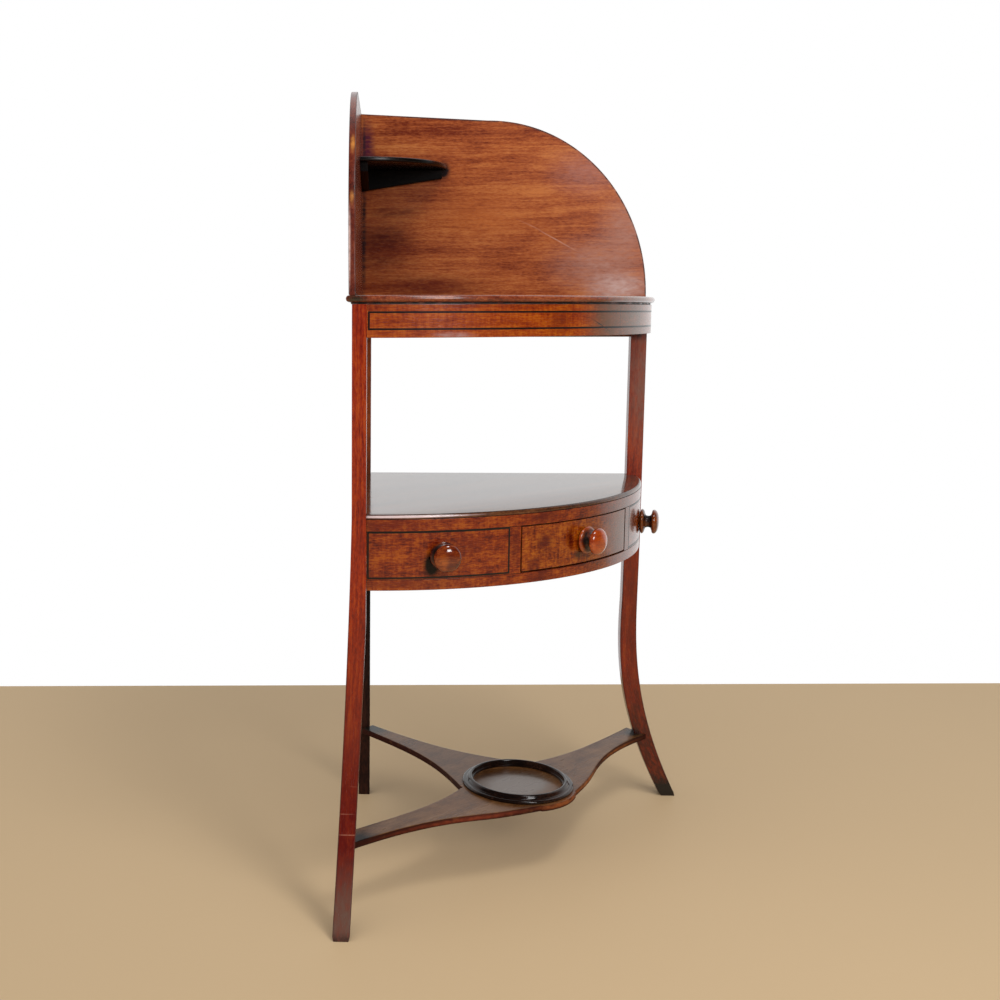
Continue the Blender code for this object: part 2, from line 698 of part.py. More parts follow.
def build_case(corner, legs):
    """Rails, dummy fronts and rear boards below the tier."""
    top = TIER_TOP - TIER_THICKNESS - GAP
    curved_rail("case_top_rail", BOW_OFFSET, BOW_RADIUS, TOP_RAIL_DEPTH, (PANEL_TOP, top),
                legs, "golden_mahogany", corner)
    curved_rail("case_bottom_rail", BOW_OFFSET, BOW_RADIUS, BOTTOM_RAIL_DEPTH,
                (CASE_BOTTOM, PANEL_BOTTOM), legs, "golden_mahogany", corner)
    start = face_bearing(BOW_OFFSET, BOW_RADIUS, LEG_ACROSS + GAP)
    opening = math.pi / 4 - DRAWER_HALF_ANGLE
    inner = BOW_RADIUS - FRONT_THICKNESS
    left_outline = leg_strip(BOW_OFFSET, inner, BOW_RADIUS, opening)
    outlines = {"left": left_outline, "right": [place[::-1] for place in left_outline]}
    margin = STRING_WIDTH / 2 + PANEL_BORDER
    end = start + margin / BOW_RADIUS
    panels = {"left": (end, PANEL_SIDE_BEARING), "right": (math.pi / 2 - PANEL_SIDE_BEARING, math.pi / 2 - end)}
    fronts = {}
    for side, outline in outlines.items():
        fronts[side] = new_piece(side + "_dummy_front", upright(outline, PANEL_BOTTOM + GAP, PANEL_TOP - GAP),
                                 "golden_mahogany", corner)
        inlay(side + "_panel_string", fronts[side], BOW_OFFSET, BOW_RADIUS, *panels[side],
              PANEL_BOTTOM + margin, PANEL_TOP - margin, corner)
    inward = (CASE_SIDE_INSET, CASE_SIDE_INSET + CASE_SIDE_THICKNESS)
    for side in ("left", "right"):
        straight_rail(side + "_case_side", side, legs, inward, (CASE_BOTTOM, top), "rail_pine", corner)
    return fronts


def bow_place(radius, x):
    """How far from the wall corner, along the diagonal, a bow of this radius passes at x."""
    return BOW_OFFSET * DIAGONAL + math.sqrt(radius**2 - x**2)


def build_drawer(frame):
    """The drawer box: bowed front, two sides, back and bottom."""
    centre = BOW_OFFSET * DIAGONAL
    half_angle = DRAWER_HALF_ANGLE - DRAWER_END_GAP / BOW_RADIUS
    turns = bearings(-half_angle, half_angle)
    face = [(BOW_RADIUS * math.sin(turn), -centre - BOW_RADIUS * math.cos(turn)) for turn in turns]
    flat = -centre - BOW_RADIUS * math.cos(half_angle) + DRAWER_FRONT_THICKNESS
    end_x = (BOW_RADIUS - DRAWER_FRONT_THICKNESS) * math.sin(half_angle)
    front = new_piece("drawer_front", plan_prism([*face, (end_x, flat), (-end_x, flat)],
                                                 PANEL_BOTTOM + DRAWER_LOWER_GAP, PANEL_TOP - DRAWER_UPPER_GAP),
                      "golden_mahogany", frame)
    half = drawer_half_width()
    back = -DRAWER_BACK_PLACE
    low, high = PANEL_BOTTOM + GAP, PANEL_TOP - DRAWER_SIDE_DROP
    floor_low = low + DRAWER_BOTTOM_LIFT
    floor_high = floor_low + DRAWER_BOTTOM_THICKNESS
    inside = half - DRAWER_SIDE_THICKNESS
    reach = inside + DRAWER_GROOVE
    bed = [(-reach - GAP, flat - DRAWER_GROOVE - GAP), (reach + GAP, flat - DRAWER_GROOVE - GAP),
           (reach + GAP, back + OVERRUN), (-reach - GAP, back + OVERRUN)]
    groove = guide("drawer_bottom_groove", plan_prism(bed, floor_low - GAP, floor_high + GAP), frame)
    cut(front, groove)
    for side, sign in (("left", -1), ("right", 1)):
        edges = (sign * inside, sign * half)
        outline = [(edges[0], flat + GAP), (edges[1], flat + GAP), (edges[1], back), (edges[0], back)]
        wall = new_piece("drawer_%s_side" % side, plan_prism(outline, low, high), "drawer_oak", frame)
        cut(wall, groove)
    across = inside - GAP
    rear = [(-across, back - DRAWER_SIDE_THICKNESS), (across, back - DRAWER_SIDE_THICKNESS),
            (across, back), (-across, back)]
    new_piece("drawer_back", plan_prism(rear, floor_high + GAP, high - DRAWER_BACK_DROP), "drawer_oak", frame)
    sheet = [(-reach, flat - DRAWER_GROOVE), (reach, flat - DRAWER_GROOVE), (reach, back), (-reach, back)]
    new_piece("drawer_bottom", plan_prism(sheet, floor_low, floor_high), "drawer_oak", frame)
    return front, flat


def drawer_half_width():
    """Half the drawer box's width: it just passes between the dummy fronts."""
    return (BOW_RADIUS - FRONT_THICKNESS) * math.sin(DRAWER_HALF_ANGLE) - DRAWER_END_GAP


def build_runners(frame, flat):
    """Runners, guides, kickers and stops that carry and check the drawer."""
    half = drawer_half_width()
    wall_face = (CASE_SIDE_INSET + CASE_SIDE_THICKNESS + GAP) * DIAGONAL
    outside = half + GUIDE_CLEARANCE
    top = TIER_TOP - TIER_THICKNESS - GAP
    strips = {
        "runner": (half - RUNNER_UNDER, outside + RUNNER_OUTSIDE, BOW_RADIUS - BOTTOM_RAIL_DEPTH - GAP,
                   PANEL_BOTTOM - RUNNER_HEIGHT, PANEL_BOTTOM),
        "guide": (outside, outside + GUIDE_WIDTH, BOW_RADIUS - FRONT_THICKNESS - GAP,
                  PANEL_BOTTOM + GAP, PANEL_BOTTOM + GUIDE_HEIGHT),
        "kicker": (half - RUNNER_UNDER, half - RUNNER_UNDER + KICKER_WIDTH, BOW_RADIUS - TOP_RAIL_DEPTH - GAP,
                   PANEL_TOP - KICKER_DROP, top),
    }
    for side, sign in (("left", -1), ("right", 1)):
        for name, (near, far, radius, low, high) in strips.items():
            outline = [(sign * near, -near - wall_face), (sign * far, -far - wall_face),
                       (sign * far, -bow_place(radius, far)), (sign * near, -bow_place(radius, near))]
            new_piece("%s_%s" % (side, name), plan_prism(outline, low, high), "rail_pine", frame)
        near, far = STOP_PLACE - STOP_WIDTH / 2, STOP_PLACE + STOP_WIDTH / 2
        outline = [(sign * near, flat + GAP), (sign * far, flat + GAP),
                   (sign * far, flat + GAP + STOP_DEPTH), (sign * near, flat + GAP + STOP_DEPTH)]
        new_piece(side + "_drawer_stop", plan_prism(outline, PANEL_BOTTOM + GAP, PANEL_BOTTOM + STOP_HEIGHT),
                  "drawer_oak", frame)


def knob_profile():
    """A turned knob standing on its collar: spigot, round collar, waist and domed head."""
    points = [(0.0, -KNOB_SPIGOT_LENGTH), (KNOB_SPIGOT_RADIUS, -KNOB_SPIGOT_LENGTH), (KNOB_SPIGOT_RADIUS, 0.0)]
    members = ((KNOB_COLLAR_SHARES, KNOB_COLLAR_RADIUS, KNOB_COLLAR_LENGTH),
               (KNOB_WAIST_SHARES, KNOB_WAIST_RADIUS, KNOB_WAIST_LENGTH),
               (KNOB_HEAD_SHARES, KNOB_HEAD_RADIUS, KNOB_HEAD_LENGTH))
    foot = 0.0
    for shares, radius, length in members:
        points += [(share * radius, foot + height_share * length) for share, height_share in shares]
        foot += length
    return points


def build_knobs(corner, fronts):
    """Three knobs, each glued by its spigot into a front."""
    for name, (bearing, height) in KNOB_PLACES.items():
        place = bow_point(BOW_OFFSET, BOW_RADIUS + GAP, bearing, height)
        knob = new_piece(name + "_knob", lathe(knob_profile(), KNOB_SIDES), "red_mahogany", corner, smooth=True)
        bore = [(0.0, -KNOB_SPIGOT_LENGTH - GAP), (KNOB_SPIGOT_RADIUS + GAP, -KNOB_SPIGOT_LENGTH - GAP),
                (KNOB_SPIGOT_RADIUS + GAP, OVERRUN), (0.0, OVERRUN)]
        hole = guide(name + "_knob_hole", lathe(bore, KNOB_SIDES), corner)
        for thing in (knob, hole):
            thing.location = place
            thing.rotation_euler = (math.pi / 2, 0.0, bearing)
        cut(fronts[name], hole)


def platform_outline():
    """The stretcher's plan outline about the ring's centre, x to the right and y to the back."""
    halves = {}
    for sign, reach in ((1, RIGHT_ARM_REACH), (-1, LEFT_ARM_REACH)):
        front = smooth_line([(s * reach, t * PLATFORM_RADIUS) for s, t in FRONT_EDGE_SHARES])
        rear = smooth_line([(s * reach, t * PLATFORM_RADIUS) for s, t in REAR_EDGE_SHARES])
        arm = arm_to_plan(front + rear, 1)
        back = smooth_line([(t * PLATFORM_RADIUS, s * BACK_ARM_REACH) for s, t in BACK_ARM_SHARES])[1:]
        turns = bearings(-math.pi / 2, math.atan2(arm[0][1], arm[0][0]))[:-1]
        rim = [(PLATFORM_RADIUS * math.cos(turn), PLATFORM_RADIUS * math.sin(turn)) for turn in turns]
        halves[sign] = [(sign * x, y) for x, y in rim + arm + back]
    return halves[1] + halves[-1][:0:-1]


def build_stretcher(tilt, legs):
    """The Y-shaped stretcher let into the legs, with its sunk centre and ring moulding."""
    low = -STRETCHER_THICKNESS
    platform = new_piece("stretcher_platform", plan_prism(platform_outline(), low, 0.0), "dark_mahogany", tilt)
    pocket = [(0.0, -RECESS_DEPTH), (RING_INNER, -RECESS_DEPTH), (RING_INNER, OVERRUN), (0.0, OVERRUN)]
    cut(platform, guide("recess_cutter", lathe(pocket, RING_SIDES), tilt))
    half_lip = (RING_OUTER - RING_RIM) / 2
    bead = [(RING_OUTER, GAP), (RING_OUTER + GAP, RING_BASE_HEIGHT / 2), (RING_OUTER - GAP, RING_BASE_HEIGHT),
            (RING_RIM + half_lip, RING_BASE_HEIGHT + GAP), (RING_RIM + GAP, RING_HEIGHT - half_lip),
            (RING_RIM - half_lip / 2, RING_HEIGHT), (RING_INNER + half_lip, RING_HEIGHT),
            (RING_INNER + GAP, RING_HEIGHT - half_lip), (RING_INNER, GAP)]
    new_piece("stretcher_ring", lathe(bead, RING_SIDES), "dark_mahogany", tilt, smooth=True)
    for side, sign, reach in (("right", 1, RIGHT_ARM_REACH), ("left", -1, LEFT_ARM_REACH)):
        front = [(s * reach, t * PLATFORM_RADIUS + GAP) for s, t in FRONT_EDGE_SHARES[-2:]]
        rear = [(s * reach, t * PLATFORM_RADIUS - GAP) for s, t in REAR_EDGE_SHARES[:2]]
        block = [front[0], (front[1][0] + GAP, front[1][1]), (rear[0][0] + GAP, rear[0][1]), rear[1]]
        notch = guide(side + "_arm_housing", plan_prism(arm_to_plan(block, sign), low - GAP, GAP), tilt)
        cut(legs[side], notch)
    (near, near_half), (far, far_half) = [(s * BACK_ARM_REACH, t * PLATFORM_RADIUS + GAP)
                                          for s, t in BACK_ARM_SHARES[-2:]]
    block = [(-near_half, near), (near_half, near), (far_half, far + GAP), (-far_half, far + GAP)]
    cut(legs["back"], guide("back_arm_housing", plan_prism(block, low - GAP, GAP), tilt))


def arm_to_plan(points, sign):
    """Turn (along, front) points of a front arm into the stretcher's plan."""
    cosine, sine = math.cos(FRONT_ARM_ANGLE), math.sin(FRONT_ARM_ANGLE)
    return [(sign * (s * cosine + t * sine), s * sine - t * cosine) for s, t in points]


def main():
    """Build the washstand."""
    clear_scene()
    row = (0.0, ORIGIN_PLACE, 0.0)
    corner = empty("wall_corner", row, (0.0, 0.0, -math.pi / 4))
    drawer = empty("drawer_slide", row)
    case = empty("case_centre", row)
    rise = math.atan2(STRETCHER_BACK_TOP - STRETCHER_TOP, BACK_ARM_REACH)
    tilt = empty("stretcher_centre", (0.0, ORIGIN_PLACE - RING_PLACE, STRETCHER_TOP), (rise, 0.0, 0.0))
    legs = build_legs(corner)
    build_frieze(corner, legs)
    build_top(corner)
    build_corner_shelf(corner)
    build_tier(corner)
    fronts = build_case(corner, legs)
    fronts["drawer"], flat = build_drawer(drawer)
    build_runners(case, flat)
    build_knobs(corner, fronts)
    build_stretcher(tilt, legs)


main()
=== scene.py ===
"""Looks for a bow-front corner washstand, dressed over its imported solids.

Lengths along the two walls of the room corner are called left and right: left runs along the left
wall from the corner, right along the right wall, and inward is the distance in from a wall.
"""
import logging
import math
from dataclasses import dataclass, field, fields, replace
from enum import Enum
from typing import Callable, Sequence

import bmesh
import bpy
import numpy as np
from mathutils import Matrix, Vector


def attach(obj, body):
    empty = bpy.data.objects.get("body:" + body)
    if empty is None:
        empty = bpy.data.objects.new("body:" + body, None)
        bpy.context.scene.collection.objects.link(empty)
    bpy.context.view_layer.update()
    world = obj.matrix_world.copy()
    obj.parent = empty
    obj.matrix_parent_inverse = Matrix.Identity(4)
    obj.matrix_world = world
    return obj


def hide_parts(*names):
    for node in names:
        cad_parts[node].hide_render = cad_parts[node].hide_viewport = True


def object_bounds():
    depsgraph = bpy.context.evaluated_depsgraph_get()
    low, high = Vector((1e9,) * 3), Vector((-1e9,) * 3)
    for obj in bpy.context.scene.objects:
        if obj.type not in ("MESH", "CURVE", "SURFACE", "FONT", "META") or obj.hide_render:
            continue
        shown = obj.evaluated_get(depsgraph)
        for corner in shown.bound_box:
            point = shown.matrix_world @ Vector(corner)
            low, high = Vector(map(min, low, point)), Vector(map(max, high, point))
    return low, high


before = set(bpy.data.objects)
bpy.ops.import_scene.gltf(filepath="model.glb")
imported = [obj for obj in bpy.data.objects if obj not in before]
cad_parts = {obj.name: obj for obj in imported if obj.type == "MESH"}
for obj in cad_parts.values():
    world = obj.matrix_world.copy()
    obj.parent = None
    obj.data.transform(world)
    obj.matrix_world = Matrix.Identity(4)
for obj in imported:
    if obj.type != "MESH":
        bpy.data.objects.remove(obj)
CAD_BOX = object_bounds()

Array = np.ndarray
Colour = tuple[float, float, float]
ROOT2 = math.sqrt(2.0)
HALF_TURN = math.pi
QUARTER = math.pi / 2
EIGHTH = math.pi / 4
STAND = "stand"
DRAWER = "drawer"
LOG = logging.getLogger("washstand")

# Lengths in metres that several pieces share
GAP = 0.0003
OVERHANG = 0.0075
BOARD_FACE = 0.0046
BOARD_THROUGH = 0.006
FRONT_THROUGH = 0.05
DIRT = 0.0022
STRIP = 0.0004

# The centre and radius of each bow
CASE_BOW = (0.0160, 0.4307)
FRIEZE_BOW = (0.0, 0.4560)
TOP_BOW = (0.0, 0.4603)

# The edge attribute of each row of a plate's edge
PLATE_EDGE = (0.0, 1.0, 1.0, 0.5, 0.0, 0.0, 0.5, 1.0, 1.0, 0.0)

# Pattern sizes, in turns a metre along, across and through the grain
DRIFTS = (4.0, 11.0, 11.0)
BANDS = (2.6, 46.0, 46.0)
STREAKS = (18.0, 330.0, 330.0)
FLECKS = (150.0, 560.0, 560.0)
RIPPLES = (260.0, 45.0, 45.0)
PORES = (90.0, 1600.0, 1600.0)
CLOUDS = (9.0, 26.0, 26.0)
EDGE_BREAKS = (60.0, 90.0, 90.0)
RAGS = (70.0, 190.0, 190.0)
RUST_SPOTS = (900.0, 900.0, 900.0)
FLOOR_TONES = (0.7, 0.7, 0.7)

# How strongly the patterns act
DRIFT_REACH = (0.007, 0.007, 0.007)
BLOTCH_STRETCH = 0.7
TONE_STOPS = (0.08, 0.5, 0.92)
TONE_CONTRAST = 1.6
PORE_RAMP = (0.60, 0.74)
PORE_ROUGHNESS = 0.10
RAG_CONTRAST = 3.4
EDGE_BREAK_RAMP = (0.30, 0.55)
LEAST_EDGE_SHARE = 0.35
STREAK_RELIEF = 0.3
BUMP_DEPTH = 0.0003
RUST_RAMP = (0.52, 0.68)
RUST_ROUGHNESS = 0.3
RUST_DULLING = 0.8


class Side(Enum):
    """The two walls that the stand fits between."""

    LEFT = "left"
    RIGHT = "right"


class Grain(Enum):
    """Where a wood's pattern takes its direction from."""

    PIECE = "the piece's own wood attribute"
    LEFT_WALL = -HALF_TURN * 0.75
    RIGHT_WALL = -HALF_TURN * 0.25
    ACROSS = 0.0
    FORWARD = QUARTER


class Slot(Enum):
    """The record's material slots, passed along with the new pieces but not given to them."""

    GOLDEN = "golden_mahogany"
    RED = "red_mahogany"
    DARK = "dark_mahogany"
    BLACK = "ebony"


# Shader maths


def find_socket(sockets: Sequence, key: str | int) -> bpy.types.NodeSocket:
    """The socket with this identifier, name or number.

    Args:
        sockets: A node's inputs or outputs.
        key: Its identifier, name or number.

    Returns:
        The socket.
    """
    if isinstance(key, int):
        return sockets[key]
    for socket in sockets:
        if socket.identifier == key:
            return socket
    return sockets[key]


class Wire:
    """A socket whose arithmetic adds Math nodes to its tree."""

    def __init__(self, tree: bpy.types.NodeTree, socket: bpy.types.NodeSocket) -> None:
        """Hold a tree and one of its output sockets."""
        self.tree = tree
        self.socket = socket

    def maths(self, operation: str, first: "Wire | float", second: "Wire | float" = 0.0) -> "Wire":
        """One Math node.

        Args:
            operation: Its operation.
            first: The first value.
            second: The second value.

        Returns:
            Its result.
        """
        node = self.tree.nodes.new("ShaderNodeMath")
        node.operation = operation
        for socket, value in zip(node.inputs, (first, second)):
            if isinstance(value, Wire):
                self.tree.links.new(value.socket, socket)
            else:
                socket.default_value = value
        return Wire(self.tree, node.outputs[0])

    def __add__(self, other: "Wire | float") -> "Wire":
        """Sum."""
        return self.maths("ADD", self, other)

    __radd__ = __add__

    def __sub__(self, other: "Wire | float") -> "Wire":
        """Difference."""
        return self.maths("SUBTRACT", self, other)

    def __rsub__(self, other: float) -> "Wire":
        """A number less this."""
        return self.maths("SUBTRACT", other, self)

    def __mul__(self, other: "Wire | float") -> "Wire":
        """Product."""
        return self.maths("MULTIPLY", self, other)

    __rmul__ = __mul__


class Book:
    """The node tree of one material or world."""

    def __init__(self, owner: bpy.types.Material | bpy.types.World) -> None:
        """Empty the owner's tree.

        Args:
            owner: A material or a world.
        """
        owner.use_nodes = True
        self.tree = owner.node_tree
        self.tree.nodes.clear()

    def node(self, kind: str, settings: dict | None = None, out: str | int = 0, **values: object) -> Wire:
        """One node of any kind.

        Args:
            kind: The node's type after ShaderNode.
            settings: What is set first: its properties, or a ramp's stops.
            out: The output that is returned.
            **values: The value or link of each input, by name or identifier.

        Returns:
            The output, or for a node with none a wire of its first input.
        """
        node = self.tree.nodes.new("ShaderNode" + kind)
        for name, value in (settings or {}).items():
            if name == "stops":
                ramp = node.color_ramp.elements
                while len(ramp) < len(value):
                    ramp.new(1.0)
                for stop, (place, colour) in zip(ramp, value):
                    stop.position = place
                    stop.color = (*colour, 1.0)
            else:
                setattr(node, name, value)
        for name, value in values.items():
            socket = find_socket(node.inputs, name.replace("__", " "))
            if isinstance(value, Wire):
                self.tree.links.new(value.socket, socket)
            else:
                socket.default_value = value
        ends = node.outputs if len(node.outputs) else node.inputs
        return Wire(self.tree, find_socket(ends, out))

    def blend(self, share: Wire | float, first: object, second: object, mode: str = "MIX") -> Wire:
        """Mix two colours.

        Args:
            share: How much of the second.
            first: The first colour or wire.
            second: The second colour or wire.
            mode: The Mix node's blend type.

        Returns:
            The mixed colour.
        """
        first, second = [(*c, 1.0) if isinstance(c, tuple) and len(c) == 3 else c for c in (first, second)]
        return self.node("Mix", {"data_type": "RGBA", "blend_type": mode}, "Result_Color",
                         Factor_Float=share, A_Color=first, B_Color=second)

    def stretch(self, point: Wire, scale: Sequence[float], offset: Sequence[float] = (0.0, 0.0, 0.0)) -> Wire:
        """Scale a point axis by axis, after an offset."""
        return self.node("VectorMath", {"operation": "MULTIPLY_ADD"}, 0, Vector=point,
                         Vector_001=tuple(scale), Vector_002=tuple(offset))

    def noise(self, point: Wire, scale: Sequence[float], detail: float = 2.0, rough: float = 0.5,
              out: str = "Fac") -> Wire:
        """Noise over a point that is stretched first; scale is turns a metre along each axis."""
        return self.node("TexNoise", {"noise_dimensions": "3D"}, out, Vector=self.stretch(point, scale),
                         Scale=1.0, Detail=detail, Roughness=rough)

    def ramp(self, value: Wire, low: float, high: float) -> Wire:
        """A smooth step from 0 at low to 1 at high."""
        return self.node("MapRange", {"interpolation_type": "SMOOTHSTEP"}, 0, Value=value,
                         From__Min=low, From__Max=high)

    def spot(self, centre: Sequence[float], reach: Sequence[float], turn: float, tilt: float) -> Wire:
        """A soft mask that is 1 at a point and 0 beyond a reach along each of its own axes.

        Args:
            centre: The point.
            reach: How far it goes along each of its own axes.
            turn: The bearing of its first axis about Z.
            tilt: How far that axis falls.

        Returns:
            The mask.
        """
        place = self.node("TexCoord", None, "Object")
        local = self.node("Mapping", {"vector_type": "TEXTURE"}, 0, Vector=place, Location=tuple(centre),
                          Rotation=(0.0, tilt, turn), Scale=reach)
        length = self.node("VectorMath", {"operation": "LENGTH"}, "Value", Vector=local)
        return 1.0 - self.ramp(length, 0.0, 1.0)


# Places


@dataclass(frozen=True)
class Corner:
    """The room corner that the stand fits.

    Attributes:
        origin_place: How far the row's origin lies from the corner, along the diagonal.
    """

    origin_place: float

    def place(self, left: Array, right: Array, height: Array) -> Array:
        """X is (right - left) over root 2, and Y the origin's place less (left + right) over root 2."""
        left, right, height = np.broadcast_arrays(left, right, height)
        return np.stack([(right - left) / ROOT2, self.origin_place - (left + right) / ROOT2, height], axis=-1)

    def beside(self, side: Side, along: Array, inward: Array, height: Array) -> Array:
        """A place given along one wall and inward from it.

        Args:
            side: The wall.
            along: How far along it from the corner.
            inward: How far in from it.
            height: Its height.

        Returns:
            The place, with X along the front and Y to the back.
        """
        if side is Side.RIGHT:
            return self.place(inward, along, height)
        return self.place(along, inward, height)


CORNER = Corner(CAD_BOX[1].y - OVERHANG * ROOT2)


# Finishes


@dataclass(frozen=True)
class Mark:
    """A patch of colour: a stain, worn place or scratch; some marks are painted shade, shadow, highlight,
    sheen and reflection.

    Attributes:
        centre: Where it is.
        reach: How far it goes along its own length, through the piece, and up.
        colour: Its colour.
        strength: Its share at the centre.
        ragged: How much the wood's flecks break it up.
        turn: The direction of its length, as a bearing about Z.
        tilt: How far its length falls.
        over_edge: Lies over the edge colour.
        matt: How much of the coat it takes off; below zero it adds some.
    """

    centre: Sequence[float]
    reach: tuple[float, float, float]
    colour: Colour
    strength: float
    ragged: float = 1.0
    turn: float = 0.0
    tilt: float = 0.0
    over_edge: bool = False
    matt: float = 0.0


def board_mark(along: float, height: float, wide: float, tall: float, colour: Colour, strength: float,
               ragged: float = 1.0, tilt: float = 0.0) -> Mark:
    """A mark on the right back board; its tilt is in degrees."""
    place = CORNER.beside(Side.RIGHT, along, BOARD_FACE, height).tolist()
    return Mark(place, (wide, BOARD_THROUGH, tall), colour, strength, ragged, -EIGHTH, math.radians(tilt))


def front_mark(bearing: float, height: float, wide: float, tall: float, colour: Colour, strength: float,
               ragged: float = 1.0, tilt: float = 0.0, bow: tuple[float, float] = CASE_BOW) -> Mark:
    """A mark on a bowed front.

    Args:
        bearing: Its bearing in degrees.
        height: Its height.
        wide: How far it goes along the front.
        tall: How far it goes up and down.
        colour: Its colour.
        strength: Its share at the centre.
        ragged: How much the wood's flecks break it up.
        tilt: How far its length falls, in degrees.
        bow: The front's centre and radius.

    Returns:
        The mark.
    """
    turn = math.radians(bearing)
    centre, radius = bow
    place = CORNER.place(centre + radius * math.cos(turn), centre + radius * math.sin(turn), height).tolist()
    return Mark(place, (wide, FRONT_THROUGH, tall), colour, strength, ragged, turn - EIGHTH,
                math.radians(tilt))


def frieze_mark(bearing: float, height: float, wide: float, tall: float, colour: Colour, strength: float,
                ragged: float = 1.0, tilt: float = 0.0) -> Mark:
    """A mark on the frieze."""
    return front_mark(bearing, height, wide, tall, colour, strength, ragged, tilt, FRIEZE_BOW)


def wall_mark(side: Side, along: float, inward: float, height: float, reach: tuple[float, float, float],
              colour: Colour, strength: float, ragged: float = 1.0) -> Mark:
    """A mark given by a place along a wall; its length runs along the wall.

    Args:
        side: The wall.
        along: How far along it from the corner.
        inward: How far in from it.
        height: Its height.
        reach: How far it goes along the wall, in from it, and up.
        colour: Its colour.
        strength: Its share at the centre.
        ragged: How much the wood's flecks break it up.

    Returns:
        The mark.
    """
    turn = -EIGHTH if side is Side.RIGHT else EIGHTH
    place = CORNER.beside(side, along, inward, height).tolist()
    return Mark(place, reach, colour, strength, ragged, turn)


